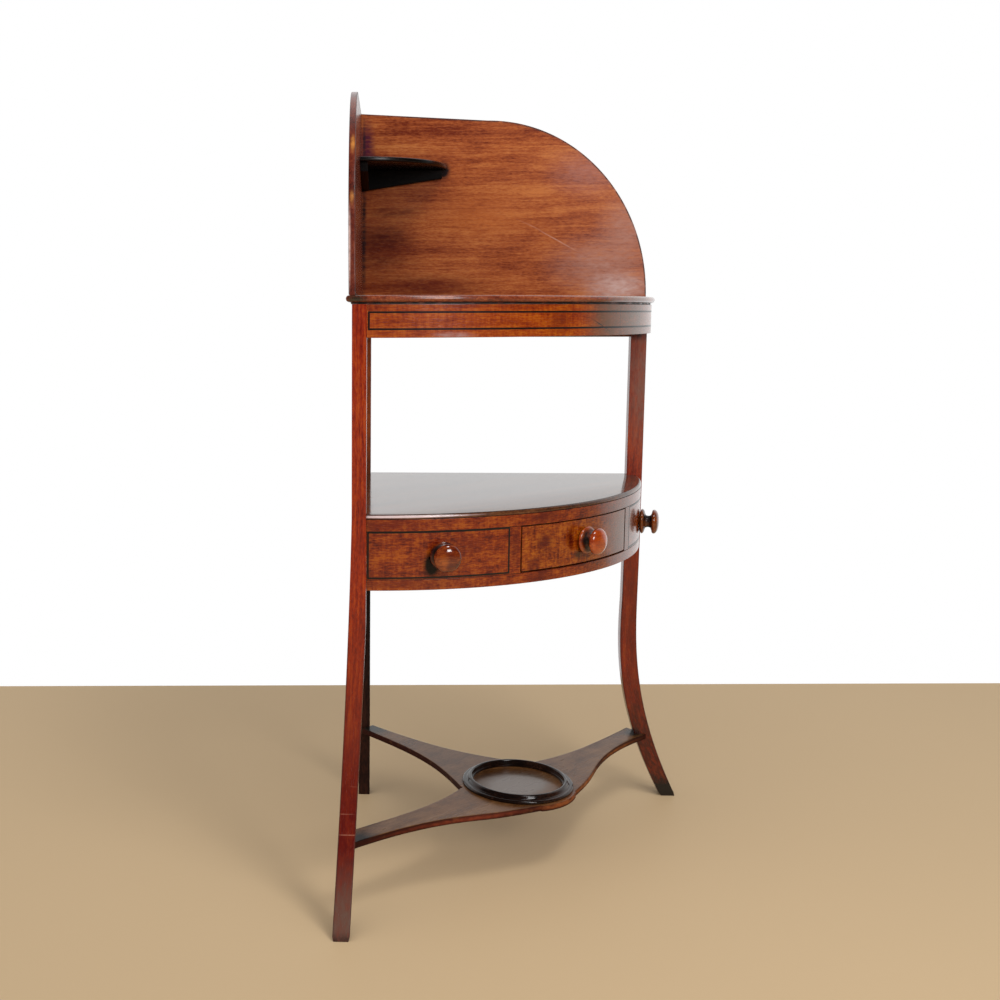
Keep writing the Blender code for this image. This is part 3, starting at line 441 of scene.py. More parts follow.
@dataclass(frozen=True)
class Wood:
    """A polished or raw wood: broad bands, long streaks, short flecks, cross ripple and blotches.

    Each share weighs one pattern, and their sum picks a colour between dark, mid and pale. The edge
    colour goes where the piece's edge attribute is.
    """

    name: str
    dark: Colour
    mid: Colour
    pale: Colour
    band: float = 0.9
    streak: float = 0.5
    fleck: float = 0.9
    ripple: float = 0.0
    mottle: float = 0.5
    mottle_size: float = 0.030
    pore: float = 0.25
    gloss: float = 0.20
    haze: float = 0.10
    specular: float = 0.5
    coat: float = 0.0
    coat_gloss: float = 0.10
    bump: float = 0.10
    edge: Colour = (0.06, 0.012, 0.006)
    edge_share: float = 0.0
    edge_haze: float = 0.30
    edge_matt: float = 1.0
    grain: Grain = Grain.PIECE
    marks: tuple[Mark, ...] = ()

    def point(self, book: Book) -> Wire:
        """The point whose first axis runs along the grain.

        Args:
            book: The material's tree.

        Returns:
            The piece's wood attribute, or its place turned by the grain's bearing.
        """
        if self.grain is Grain.PIECE:
            return book.node("Attribute", {"attribute_name": "wood"}, "Vector")
        place = book.node("TexCoord", None, "Object")
        return book.node("Mapping", None, 0, Vector=place, Rotation=(0.0, 0.0, -self.grain.value))

    def figure(self, book: Book, point: Wire) -> tuple[Wire, Wire, Wire]:
        """The wood's pattern.

        Args:
            book: The material's tree.
            point: The point along the grain.

        Returns:
            The tone from 0, dark, to 1, pale; the pores from 0 to 1; and the streaks.
        """
        drift = book.noise(point, DRIFTS, 2.0, out="Color")
        bent = book.node("VectorMath", {"operation": "MULTIPLY_ADD"}, 0, Vector=drift,
                         Vector_001=DRIFT_REACH, Vector_002=point)
        streak = book.noise(bent, STREAKS, 2.0, 0.6)
        size = 1.0 / self.mottle_size
        layers = ((self.band, book.noise(bent, BANDS, 2.0, 0.5)), (self.streak, streak),
                  (self.fleck, book.noise(bent, FLECKS, 2.0, 0.6)),
                  (self.ripple, book.noise(bent, RIPPLES, 2.0, 0.6)),
                  (self.mottle, book.noise(bent, (size * BLOTCH_STRETCH, size, size), 4.0, 0.65)))
        tone = 0.5
        for share, layer in layers:
            if share:
                tone = (layer - 0.5) * (TONE_CONTRAST * share) + tone
        pore = book.ramp(book.noise(bent, PORES, 1.0), *PORE_RAMP)
        return tone, pore, streak

    def stained(self, book: Book, point: Wire, colour: Wire, coat: Wire | float,
                over_edge: bool) -> tuple[Wire, Wire | float]:
        """Lay marks over a colour and its coat.

        Args:
            book: The material's tree.
            point: The point along the grain.
            colour: The colour under them.
            coat: The coat's weight.
            over_edge: Which marks: those over the edge colour, or those under it.

        Returns:
            The stained colour and the coat that is left.
        """
        marks = [mark for mark in self.marks if mark.over_edge is over_edge]
        fleck = (book.noise(point, RAGS, 3.0, 0.65) - 0.5) * RAG_CONTRAST if marks else 0.0
        for mark in marks:
            spot = book.spot(mark.centre, mark.reach, mark.turn, mark.tilt)
            mask = book.node("Clamp", None, 0, Value=spot * (fleck * mark.ragged + 1.0) * mark.strength)
            colour = book.blend(mask, colour, mark.colour)
            if mark.matt and self.coat:
                coat = (1.0 - mask * mark.matt) * coat
        return colour, coat

    def build(self) -> bpy.types.Material:
        """Make the material.

        Returns:
            The material.
        """
        material = bpy.data.materials.new(self.name)
        book = Book(material)
        point = self.point(book)
        tone, pore, streak = self.figure(book, point)
        stops = tuple(zip(TONE_STOPS, (self.dark, self.mid, self.pale)))
        colour = book.node("ValToRGB", {"stops": stops}, 0, Fac=tone)
        colour = book.blend(pore * self.pore, colour, self.dark)
        colour, coat = self.stained(book, point, colour, self.coat, False)
        cloud = book.noise(point, CLOUDS, 3.0)
        rough = (cloud - 0.5) * self.haze + pore * PORE_ROUGHNESS + self.gloss
        # The edge colour is grime on some pieces; on others it is painted shade in recesses, gaps and joints,
        # and on the shelf's lip a painted highlight along its arris.
        if self.edge_share:
            broken = book.ramp(book.noise(point, EDGE_BREAKS, 3.0, 0.6), *EDGE_BREAK_RAMP)
            at_edge = book.node("Attribute", {"attribute_name": "edge"}, "Fac")
            grime_and_painted_light = at_edge * (LEAST_EDGE_SHARE + broken * (1.0 - LEAST_EDGE_SHARE)) * self.edge_share
            grime_and_painted_light = book.node("Clamp", None, 0, Value=grime_and_painted_light)
            colour = book.blend(grime_and_painted_light, colour, self.edge)
            rough = rough + grime_and_painted_light * self.edge_haze
            if self.coat:
                coat = (1.0 - grime_and_painted_light * self.edge_matt) * coat
        colour, coat = self.stained(book, point, colour, coat, True)
        height = streak * STREAK_RELIEF - pore
        normal = book.node("Bump", None, 0, Strength=self.bump, Distance=BUMP_DEPTH, Height=height)
        shader = book.node("BsdfPrincipled", None, 0, Base__Color=colour, Roughness=rough, Normal=normal,
                           Specular__IOR__Level=self.specular, Coat__Weight=coat,
                           Coat__Roughness=self.coat_gloss)
        book.node("OutputMaterial", None, 0, Surface=shader)
        return material


@dataclass(frozen=True)
class Steel:
    """Dull, slightly scratched screw steel."""

    name: str
    colour: Colour
    gloss: float
    rust: Colour = (0.16, 0.07, 0.03)

    def build(self) -> bpy.types.Material:
        """Make the material.

        Returns:
            The material.
        """
        material = bpy.data.materials.new(self.name)
        book = Book(material)
        place = book.node("TexCoord", None, "Object")
        rust = book.ramp(book.noise(place, RUST_SPOTS, 3.0), *RUST_RAMP)
        colour = book.blend(rust, self.colour, self.rust)
        shader = book.node("BsdfPrincipled", None, 0, Base__Color=colour,
                           Roughness=self.gloss + rust * RUST_ROUGHNESS, Metallic=1.0 - rust * RUST_DULLING)
        book.node("OutputMaterial", None, 0, Surface=shader)
        return material


@dataclass(frozen=True)
class Palette:
    """Every finish of the stand."""

    leg: Wood = Wood(
        "leg_mahogany", (0.11, 0.004, 0.001), (0.235, 0.016, 0.001), (0.34, 0.045, 0.002),
        band=0.5, streak=1.0, fleck=0.6, mottle=0.5, edge=(0.04, 0.004, 0.002), edge_share=0.6,
        marks=(
            wall_mark(Side.LEFT, 0.47, 0.0, 0.100, (0.30, 0.15, 0.370), (0.085, 0.003, 0.001), 0.90, 0.3),
            wall_mark(Side.LEFT, 0.50, 0.0, 0.010, (0.20, 0.15, 0.105), (0.115, 0.060, 0.042), 0.95, 0.5),
            wall_mark(Side.LEFT, 0.50, 0.0, 0.000, (0.20, 0.15, 0.014), (0.030, 0.014, 0.010), 0.90),
            wall_mark(Side.LEFT, 0.49, 0.0, 0.125, (0.10, 0.03, 0.0011), (0.34, 0.13, 0.08), 0.85, 0.8),
            wall_mark(Side.LEFT, 0.49, -0.010, 0.151, (0.10, 0.02, 0.0009), (0.34, 0.13, 0.08), 0.6, 0.8),
            wall_mark(Side.LEFT, 0.49, 0.004, 0.186, (0.10, 0.008, 0.0008), (0.30, 0.10, 0.06), 0.5, 0.8),
            # Painted sheen: the right leg paler and greyer above the tier.
            wall_mark(Side.RIGHT, 0.455, 0.01, 0.700, (0.05, 0.05, 0.200), (0.19, 0.09, 0.065), 0.80, 0.6),
            wall_mark(Side.RIGHT, 0.445, 0.01, 0.772, (0.04, 0.03, 0.014), (0.018, 0.018, 0.022), 0.90, 0.6),
            # Painted shade: the right leg darker below the tier, where it gets less light.
            wall_mark(Side.RIGHT, 0.455, 0.01, 0.330, (0.05, 0.05, 0.200), (0.10, 0.008, 0.001), 0.80, 0.5),
            wall_mark(Side.RIGHT, 0.485, -0.008, 0.100, (0.14, 0.08, 0.230), (0.050, 0.006, 0.002), 1.0, 0.6),
            wall_mark(Side.RIGHT, 0.520, -0.012, 0.000, (0.12, 0.08, 0.060), (0.006, 0.004, 0.003), 1.6, 0.4),
            wall_mark(Side.RIGHT, 0.458, -0.003, 0.112, (0.022, 0.022, 0.014), (0.006, 0.004, 0.003), 1.2,
                      0.5),
        ))
    # Painted shade: nearly black, as it stands in shade under the tier; its mark paints it lit above the
    # tier.
    back_leg: Wood = Wood(
        "back_leg_mahogany", (0.004, 0.001, 0.001), (0.011, 0.003, 0.002), (0.03, 0.008, 0.004),
        gloss=0.40, specular=0.15,
        marks=(wall_mark(Side.LEFT, 0.01, 0.01, 0.700, (0.05, 0.05, 0.260), (0.30, 0.055, 0.007), 1.0, 0.5),))
    board: Wood = Wood(
        "back_board_mahogany", (0.14, 0.016, 0.002), (0.315, 0.068, 0.013), (0.46, 0.140, 0.032),
        band=0.8, streak=0.6, fleck=0.6, mottle=0.5, mottle_size=0.045, pore=0.25,
        gloss=0.26, specular=0.22, edge=(0.03, 0.010, 0.008), edge_share=0.95,
        marks=(
            board_mark(0.0105, 1.068, 0.017, 0.055, (0.085, 0.010, 0.024), 1.05, 0.7),
            board_mark(0.0140, 1.043, 0.024, 0.022, (0.060, 0.008, 0.022), 1.05, 0.6),
            board_mark(0.055, 0.966, 0.065, 0.013, (0.15, 0.024, 0.005), 0.75),
            board_mark(0.030, 0.905, 0.100, 0.075, (0.10, 0.010, 0.002), 0.85, 0.45),
            board_mark(0.040, 0.923, 0.060, 0.026, (0.075, 0.006, 0.001), 0.75, 0.7),
            board_mark(0.100, 0.848, 0.140, 0.030, (0.10, 0.010, 0.002), 0.85, 0.45),
            board_mark(0.0060, 0.930, 0.006, 0.180, (0.030, 0.008, 0.008), 0.85, 0.9),
            board_mark(0.0060, 1.075, 0.004, 0.050, (0.030, 0.010, 0.016), 0.85, 0.6),
            board_mark(0.190, 0.961, 0.120, 0.045, (0.42, 0.105, 0.018), 0.45),
            # Painted sheen: pale, greyish purple patches toward the board's right end.
            board_mark(0.381, 0.882, 0.110, 0.065, (0.36, 0.165, 0.120), 0.75, 0.6),
            board_mark(0.419, 0.938, 0.060, 0.070, (0.36, 0.165, 0.120), 0.65, 0.6),
            board_mark(0.354, 1.025, 0.080, 0.050, (0.38, 0.150, 0.110), 0.55, 0.6),
            board_mark(0.412, 0.846, 0.070, 0.034, (0.47, 0.300, 0.260), 0.85, 0.6),
            board_mark(0.312, 0.921, 0.052, 0.0017, (0.52, 0.26, 0.18), 0.60, 0.8, tilt=28.8),
            board_mark(0.268, 0.945, 0.030, 0.0016, (0.48, 0.20, 0.12), 0.45, 0.8, tilt=24.0),
            board_mark(0.132, 1.030, 0.014, 0.019, (0.012, 0.005, 0.005), 1.6, 0.4),
        ))
    left_board: Wood = Wood(
        "left_board_mahogany", (0.03, 0.004, 0.002), (0.105, 0.014, 0.006), (0.19, 0.040, 0.016),
        band=0.8, fleck=0.5, gloss=0.22, specular=0.5, edge=(0.015, 0.006, 0.006), edge_share=0.9,
        marks=(
            wall_mark(Side.LEFT, 0.27, -0.001, 1.084, (0.050, 0.0045, 0.010), (0.50, 0.21, 0.045), 0.95, 0.7),
            wall_mark(Side.LEFT, 0.389, -0.001, 1.026, (0.022, 0.0045, 0.022), (0.45, 0.17, 0.035), 1.0, 0.9),
            wall_mark(Side.LEFT, 0.434, -0.001, 0.955, (0.012, 0.0045, 0.016), (0.45, 0.17, 0.035), 0.9, 0.9),
            # Painted highlight: a pale pink line down the outer arris of the board's front edge.
            replace(wall_mark(Side.LEFT, 0.447, -0.0050, 0.885, (0.010, 0.0045, 0.080),
                              (0.60, 0.42, 0.38), 1.4, 0.6), tilt=math.radians(11.0)),
        ))
    # Its near-black edge colour paints the shade in the quirk under the nose.
    top: Wood = Wood(
        "top_board_mahogany", (0.07, 0.008, 0.002), (0.18, 0.030, 0.008), (0.29, 0.075, 0.024),
        mottle=0.8, gloss=0.20, specular=0.4, coat=0.6, edge=(0.004, 0.002, 0.001),
        edge_share=0.97,
        marks=(
            front_mark(0.5, 0.8250, 0.020, 0.012, (0.014, 0.014, 0.008), 0.9, 0.4, bow=TOP_BOW),
            # Painted shade: the bow's right part darker and greyer, as it faces away from the light.
            front_mark(58.0, 0.8250, 0.120, 0.020, (0.13, 0.055, 0.025), 0.7, 0.7, bow=TOP_BOW),
        ))
    frieze: Wood = Wood(
        "frieze_veneer", (0.13, 0.010, 0.001), (0.265, 0.038, 0.001), (0.40, 0.095, 0.004),
        band=0.6, streak=0.5, fleck=0.6, ripple=0.40, mottle=0.6, mottle_size=0.022, gloss=0.24,
        specular=0.35, coat=0.5, edge=(0.03, 0.005, 0.002), edge_share=0.7,
        marks=(
            frieze_mark(36.8, 0.796, 0.030, 0.022, (0.14, 0.018, 0.003), 0.75),
            # Painted shade: the bow's right part darker and greyer, as it faces away from the light.
            frieze_mark(60.0, 0.796, 0.160, 0.100, (0.095, 0.038, 0.012), 0.95, 0.5),
            frieze_mark(50.0, 0.796, 0.075, 0.100, (0.105, 0.042, 0.014), 0.85, 0.5),
            frieze_mark(47.6, 0.790, 0.036, 0.0011, (0.015, 0.006, 0.003), 1.0, 0.3, tilt=20.4),
            frieze_mark(54.05, 0.796, 0.0009, 0.060, (0.015, 0.007, 0.004), 1.0, 0.3),
            frieze_mark(16.5, 0.779, 0.040, 0.006, (0.33, 0.17, 0.15), 0.70),
        ))
    # Its near-black edge colour paints shade, with some grime, along the gaps and joints at the fronts' and
    # rails' arrises.
    case: Wood = Wood(
        "case_veneer", (0.070, 0.003, 0.001), (0.185, 0.020, 0.001), (0.30, 0.060, 0.003),
        band=0.4, streak=0.4, fleck=0.9, ripple=0.5, mottle=1.0, mottle_size=0.012, gloss=0.24, specular=0.35,
        coat=0.5, edge=(0.008, 0.002, 0.001), edge_share=0.92,
        marks=(
            front_mark(27.7, 0.500, 0.011, 0.040, (0.085, 0.004, 0.001), 0.80),
            front_mark(34.2, 0.535, 0.040, 0.011, (0.080, 0.004, 0.001), 0.85),
            front_mark(33.4, 0.451, 0.036, 0.013, (0.085, 0.004, 0.001), 0.85),
            front_mark(18.8, 0.505, 0.030, 0.018, (0.12, 0.009, 0.001), 0.60),
            # Painted shadow: black below and left of the left knob's collar, with the coat taken off there.
            replace(front_mark(11.9, 0.4805, 0.015, 0.023, (0.003, 0.001, 0.001), 2.0, 0.1), matt=1.0),
            front_mark(5.0, 0.534, 0.070, 0.010, (0.110, 0.006, 0.001), 0.70, 0.8),
            front_mark(7.0, 0.455, 0.080, 0.010, (0.120, 0.010, 0.001), 0.60, 0.8),
            # Painted shade: the bow's right part darker and greyer, as it faces away from the light.
            front_mark(58.0, 0.500, 0.130, 0.100, (0.110, 0.045, 0.020), 0.95, 0.4),
            # Painted reflection: the right knob's dark mirror image beside its collar.
            front_mark(74.0, 0.489, 0.022, 0.022, (0.008, 0.004, 0.003), 0.9, 0.2),
        ))
    # Its near-black edge colour paints shade, with some grime, along the gaps round the front.
    drawer: Wood = Wood(
        "drawer_veneer", (0.070, 0.003, 0.001), (0.205, 0.030, 0.001), (0.33, 0.080, 0.004),
        band=0.4, streak=0.3, fleck=0.9, ripple=0.7, mottle=1.1, mottle_size=0.012, gloss=0.24, specular=0.35,
        coat=0.5, edge=(0.008, 0.002, 0.001), edge_share=0.92,
        marks=(
            front_mark(34.4, 0.498, 0.022, 0.024, (0.080, 0.004, 0.001), 0.85),
            front_mark(32.2, 0.472, 0.018, 0.013, (0.090, 0.005, 0.001), 0.80),
            # Painted reflection: the knob's dark mirror image left of its collar.
            front_mark(40.9, 0.500, 0.010, 0.024, (0.060, 0.004, 0.001), 0.90, 0.3),
            front_mark(43.2, 0.476, 0.015, 0.012, (0.012, 0.004, 0.002), 0.90, 0.3),
            # Painted shade: the front's right part darker and greyer, as it faces away from the light.
            front_mark(60.0, 0.495, 0.125, 0.100, (0.115, 0.048, 0.021), 0.95, 0.4),
        ))
    # Its dark edge colour is painted shade, with some grime, in the joint under the nose, and grime along the
    # top arris.
    tier: Wood = Wood(
        "tier_mahogany", (0.033, 0.011, 0.005), (0.085, 0.028, 0.010), (0.14, 0.054, 0.019),
        gloss=0.10, haze=0.08, bump=0.03, coat=0.12, coat_gloss=0.05, edge=(0.012, 0.005, 0.004),
        edge_share=0.9,
        marks=(
            # Painted highlight: a pale band along the left part of the nose.
            replace(front_mark(6.0, 0.5449, 0.150, 0.0023, (0.60, 0.47, 0.47), 1.6, 0.3),
                    over_edge=True),
        ))
    stretcher: Wood = Wood(
        "stretcher_mahogany", (0.045, 0.015, 0.005), (0.122, 0.050, 0.015), (0.19, 0.090, 0.032),
        band=0.5, streak=0.3, fleck=0.5, mottle=0.8, gloss=0.28, specular=0.10, coat=0.15, coat_gloss=0.15,
        edge=(0.026, 0.004, 0.002), edge_share=1.5,
        marks=(
            Mark((0.0, -0.1077, 0.1100), (0.115, 0.115, 0.004), (0.014, 0.007, 0.005), 0.9, 0.5),
            Mark((0.0, -0.1077, 0.1080), (0.082, 0.082, 0.0020), (0.100, 0.066, 0.046), 2.2, 0.5, matt=-3.0),
            Mark((0.110, -0.170, 0.1045), (0.110, 0.060, 0.0052), (0.26, 0.075, 0.016), 1.2, over_edge=True),
            Mark((0.020, -0.195, 0.1045), (0.120, 0.030, 0.0056), (0.21, 0.058, 0.016), 1.2, over_edge=True),
            Mark((-0.170, -0.142, 0.1045), (0.170, 0.030, 0.0056), (0.16, 0.030, 0.012), 1.1,
                 turn=math.radians(-14.5), over_edge=True),
            Mark((0.260, -0.125, 0.1050), (0.110, 0.030, 0.0050), (0.22, 0.065, 0.016), 1.2, over_edge=True),
            Mark((0.322, -0.090, 0.1100), (0.028, 0.022, 0.010), (0.006, 0.004, 0.003), 1.3, 0.4),
            Mark((-0.322, -0.100, 0.1080), (0.045, 0.05, 0.020), (0.008, 0.004, 0.003), 1.3, 0.4),
            Mark((0.0, 0.205, 0.1150), (0.05, 0.05, 0.020), (0.010, 0.010, 0.008), 1.2, 0.4),
        ))
    ring: Wood = Wood(
        "ring_mahogany", (0.002, 0.001, 0.001), (0.007, 0.003, 0.002), (0.024, 0.009, 0.005),
        gloss=0.12, specular=0.35, bump=0.04)
    shelf: Wood = Wood(
        "black_stained_wood", (0.001, 0.001, 0.001), (0.003, 0.002, 0.002), (0.008, 0.005, 0.004),
        gloss=0.48, specular=0.10)
    # Its pale edge colour is a painted highlight along the shelf nose's upper arris.
    lip: Wood = Wood(
        "shelf_mahogany", (0.001, 0.001, 0.001), (0.003, 0.002, 0.002), (0.010, 0.005, 0.004),
        gloss=0.26, specular=0.25, edge=(0.22, 0.09, 0.07), edge_share=0.9, edge_matt=0.0)
    # Its near-black edge colour paints shade, with grime, into each waist.
    knob: Wood = Wood(
        "turned_mahogany", (0.03, 0.002, 0.001), (0.110, 0.012, 0.001), (0.26, 0.050, 0.006),
        fleck=0.5, mottle=1.3, mottle_size=0.016, gloss=0.14, haze=0.03, specular=0.35, bump=0.03,
        coat=1.0, coat_gloss=0.05, edge=(0.003, 0.001, 0.001), edge_share=0.98,
        marks=(
            # Painted shade: the lower half of the left knob's head darker.
            front_mark(14.6, 0.4840, 0.018, 0.014, (0.045, 0.002, 0.004), 1.0, 0.4),
            front_mark(13.1, 0.4915, 0.011, 0.014, (0.36, 0.090, 0.008), 0.8, 0.4),
            front_mark(76.5, 0.4893, 0.100, 0.040, (0.26, 0.075, 0.012), 0.5),
        ))
    # Its near-black edge colour paints shade, with grime, into the waist.
    bright_knob: Wood = Wood(
        "turned_mahogany_bright", (0.16, 0.012, 0.001), (0.31, 0.042, 0.002), (0.44, 0.09, 0.008),
        fleck=0.4, mottle=1.0, mottle_size=0.016, gloss=0.16, haze=0.03, bump=0.03,
        coat=1.0, coat_gloss=0.05, edge=(0.003, 0.001, 0.001), edge_share=0.98)
    line: Wood = Wood(
        "black_line", (0.001, 0.001, 0.001), (0.003, 0.002, 0.002), (0.008, 0.005, 0.004),
        gloss=0.45, specular=0.2, coat=0.5)
    rail: Wood = Wood(
        "rear_rail_mahogany", (0.05, 0.012, 0.005), (0.12, 0.034, 0.013), (0.20, 0.07, 0.03),
        gloss=0.5, specular=0.3)
    oak: Wood = Wood(
        "drawer_oak", (0.19, 0.090, 0.038), (0.34, 0.185, 0.085), (0.45, 0.28, 0.15),
        streak=1.0, pore=0.6, gloss=0.62, specular=0.3, bump=0.35)
    pine: Wood = Wood(
        "raw_pine", (0.17, 0.070, 0.024), (0.31, 0.150, 0.058), (0.42, 0.235, 0.105),
        band=1.3, streak=0.8, pore=0.1, gloss=0.65, specular=0.25, bump=0.3)
    steel: Steel = Steel("screw_steel", (0.36, 0.34, 0.32), 0.42)


# Geometry


def join(*parts: Array | float) -> Array:
    """Coordinates side by side, each broadcast against the others."""
    return np.stack(np.broadcast_arrays(*parts), axis=-1)


def circle(turn: Array, radius: Array | float = 1.0) -> Array:
    """Points at bearings on a circle: radius times the cosine and the sine."""
    return join(radius * np.cos(turn), radius * np.sin(turn))


class Skin:
    """A mesh gathered from whole arrays of points, with a wood attribute at each point."""

    def __init__(self, name: str) -> None:
        """Start an empty mesh.

        Args:
            name: The piece's name.
        """
        self.name = name
        self.points: list[Array] = []
        self.wood: list[Array] = []
        self.edge: list[Array] = []
        self.faces: list[list[int]] = []
        self.smooth: list[bool] = []
        self.count = 0

    def _keep(self, points: Array, wood: Array, edge: Array | float = 0.0) -> Array:
        """Store points and give their numbers in the same layout.

        Args:
            points: The points.
            wood: Their wood coordinates.
            edge: Their edge attribute.

        Returns:
            Their numbers.
        """
        index = np.arange(points[..., 0].size).reshape(points.shape[:-1]) + self.count
        self.points.append(points.reshape(-1, 3))
        self.wood.append(np.broadcast_to(wood, points.shape).reshape(-1, 3))
        self.edge.append(np.broadcast_to(edge, points.shape[:-1]).ravel())
        self.count += index.size
        return index

    def _add(self, faces: Array, smooth: bool) -> None:
        """Store equal faces.

        Args:
            faces: The points' numbers, one face a row.
            smooth: Shade them as one curved surface.
        """
        faces = faces.tolist()
        self.faces += faces
        self.smooth += [smooth] * len(faces)

    def grid(self, points: Array, wood: Array, edge: Array | float = 0.0, wrap_rows: bool = False,
             wrap_cols: bool = True) -> Array:
        """Skin a grid of points with four-sided faces.

        Args:
            points: Rows by columns of points.
            wood: The same of wood coordinates.
            edge: The edge attribute, from 0 to 1.
            wrap_rows: Join the last row to the first.
            wrap_cols: Join the last column to the first.

        Returns:
            The points' numbers.
        """
        index = self._keep(points, wood, edge)
        low, high = (index, np.roll(index, -1, 0)) if wrap_rows else (index[:-1], index[1:])
        corners = []
        for rows in (low, high):
            corners.append((rows, np.roll(rows, -1, 1)) if wrap_cols else (rows[:, :-1], rows[:, 1:]))
        quads = np.stack([corners[0][0], corners[0][1], corners[1][1], corners[1][0]], axis=-1)
        self._add(quads.reshape(-1, 4), True)
        return index

    def bridge(self, first: Array, second: Array, smooth: bool = False) -> None:
        """Join two closed loops of points that are there already."""
        quads = np.stack([first, np.roll(first, -1), np.roll(second, -1), second], axis=-1)
        self._add(quads, smooth)

    def cap(self, ring: Array) -> None:
        """Close a loop with one flat face."""
        self._add(ring.reshape(1, -1), False)

    def solid(self, points: Array, wood: Array, edge: Array | float = 0.0) -> "Skin":
        """Skin a grid of points, wrapped along its columns, and cap its first and last rows.

        Args:
            points: Rows by columns of points.
            wood: The same of wood coordinates.
            edge: The edge attribute, from 0 to 1.

        Returns:
            The skin itself.
        """
        index = self.grid(points, wood, edge)
        self.cap(index[0])
        self.cap(index[-1])
        return self

    def tip(self, ring: Array, point: Array, wood: Array) -> None:
        """Close a loop with a smooth fan to one point.

        Args:
            ring: The loop's numbers.
            point: The point.
            wood: Its wood coordinate.
        """
        pole = self._keep(point.reshape(1, 3), wood)
        fan = np.stack([ring, np.roll(ring, -1), np.full_like(ring, pole[0])], axis=-1)
        self._add(fan, True)

    def build(self, material: bpy.types.Material, node: str, slot: Slot, body: str, crease: float) -> None:
        """Make the object, dress it, and let it ride on a body in place of its solid.

        Args:
            material: Its finish.
            node: The solid that it stands for.
            slot: The record's material slot; not used.
            body: The body it rides on.
            crease: The angle in degrees from which an edge stays sharp.
        """
        mesh = bpy.data.meshes.new(self.name)
        mesh.from_pydata(np.concatenate(self.points).tolist(), [], self.faces)
        mesh.polygons.foreach_set("use_smooth", self.smooth)
        wood = mesh.attributes.new("wood", "FLOAT_VECTOR", "POINT")
        wood.data.foreach_set("vector", np.concatenate(self.wood).astype(np.float32).ravel())
        edge = mesh.attributes.new("edge", "FLOAT", "POINT")
        edge.data.foreach_set("value", np.concatenate(self.edge).astype(np.float32))
        work = bmesh.new()
        work.from_mesh(mesh)
        bmesh.ops.recalc_face_normals(work, faces=work.faces[:])
        work.to_mesh(mesh)
        work.free()
        mesh.set_sharp_from_angle(angle=math.radians(crease))
        mesh.materials.append(material)
        piece = bpy.data.objects.new(self.name, mesh)
        bpy.context.scene.collection.objects.link(piece)
        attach(piece, body)
        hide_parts(node)
        LOG.info("%s: %d points on %s", self.name, self.count, body)


def rounded(corners: Array, radius: float | Array, steps: int = 4) -> Array:
    """Round each corner of a closed outline.

    Each corner P with neighbours' directions u and v becomes the curve
    (1-t)^2 (P + r u) + 2t(1-t) P + t^2 (P + r v), for t from 0 to 1, with one more point a strip's
    width before and after it, which keeps the shading of the flat sides flat.

    Args:
        corners: The corners, in order, as rows.
        radius: How far the rounding reaches from each corner.
        steps: Segments in each rounding.

    Returns:
        The rounded outline.
    """
    back = np.roll(corners, 1, axis=-2) - corners
    onward = np.roll(corners, -1, axis=-2) - corners
    back = back / np.linalg.norm(back, axis=-1, keepdims=True) * radius
    onward = onward / np.linalg.norm(onward, axis=-1, keepdims=True) * radius
    t = np.linspace(0.0, 1.0, steps + 1)[:, None]
    corner = corners[..., :, None, :]
    curve = (1 - t) ** 2 * (corner + back[..., :, None, :]) + 2 * t * (1 - t) * corner
    curve = curve + t**2 * (corner + onward[..., :, None, :])
    before = corner + (back * (1 + STRIP / radius))[..., :, None, :]
    after = corner + (onward * (1 + STRIP / radius))[..., :, None, :]
    curve = np.concatenate([before, curve, after], axis=-2)
    return curve.reshape(*corners.shape[:-2], -1, corners.shape[-1])


def arris_edge(corners: int, steps: int = 4) -> Array:
    """The edge attribute along rounded corners: the sine of the way through each rounding."""
    return np.tile(np.pad(np.sin(HALF_TURN * np.linspace(0.0, 1.0, steps + 1)), 1), corners)


def smooth_curve(points: Array, steps: int) -> Array:
    """A Catmull-Rom curve through points: each span blends its four nearest points by cubic weights.

    Args:
        points: The points, as rows.
        steps: Segments in each span.

    Returns:
        The curve.
    """
    padded = np.concatenate([points[:1], points, points[-1:]])
    t = np.linspace(0.0, 1.0, steps, endpoint=False)[None, :, None]
    p0, p1, p2, p3 = (padded[i : len(padded) - 3 + i][:, None, :] for i in range(4))
    curve = (-t + 2 * t**2 - t**3) * p0 + (2 - 5 * t**2 + 3 * t**3) * p1
    curve = curve + (t + 4 * t**2 - 3 * t**3) * p2 + (t**3 - t**2) * p3
    return np.concatenate([(curve / 2).reshape(-1, points.shape[1]), points[-1:]])


def fair_curve(points: Array, steps: int) -> Array:
    """A natural cubic spline through points, with chord lengths between its knots.

    The bending M at the inner knots solves h0 M0 + 2 (h0 + h1) M1 + h1 M2 = 6 (slope1 - slope0).

    Args:
        points: The points, as rows.
        steps: Segments in each span.

    Returns:
        The curve.
    """
    h = np.linalg.norm(np.diff(points, axis=0), axis=1)[:, None]
    slope = np.diff(points, axis=0) / h
    system = np.diag((2 * (h[:-1] + h[1:]))[:, 0]) + np.diag(h[1:-1, 0], 1) + np.diag(h[1:-1, 0], -1)
    bend = np.zeros_like(points)
    bend[1:-1] = np.linalg.solve(system, 6 * np.diff(slope, axis=0))
    t = np.linspace(0.0, 1.0, steps, endpoint=False)[None, :, None]
    h, first, last = h[:, None], bend[:-1, None], bend[1:, None]
    curve = (1 - t) * points[:-1, None] + t * points[1:, None]
    curve = curve + h**2 / 6 * (((1 - t) ** 3 - (1 - t)) * first + (t**3 - t) * last)
    return np.concatenate([curve.reshape(-1, points.shape[1]), points[-1:]])


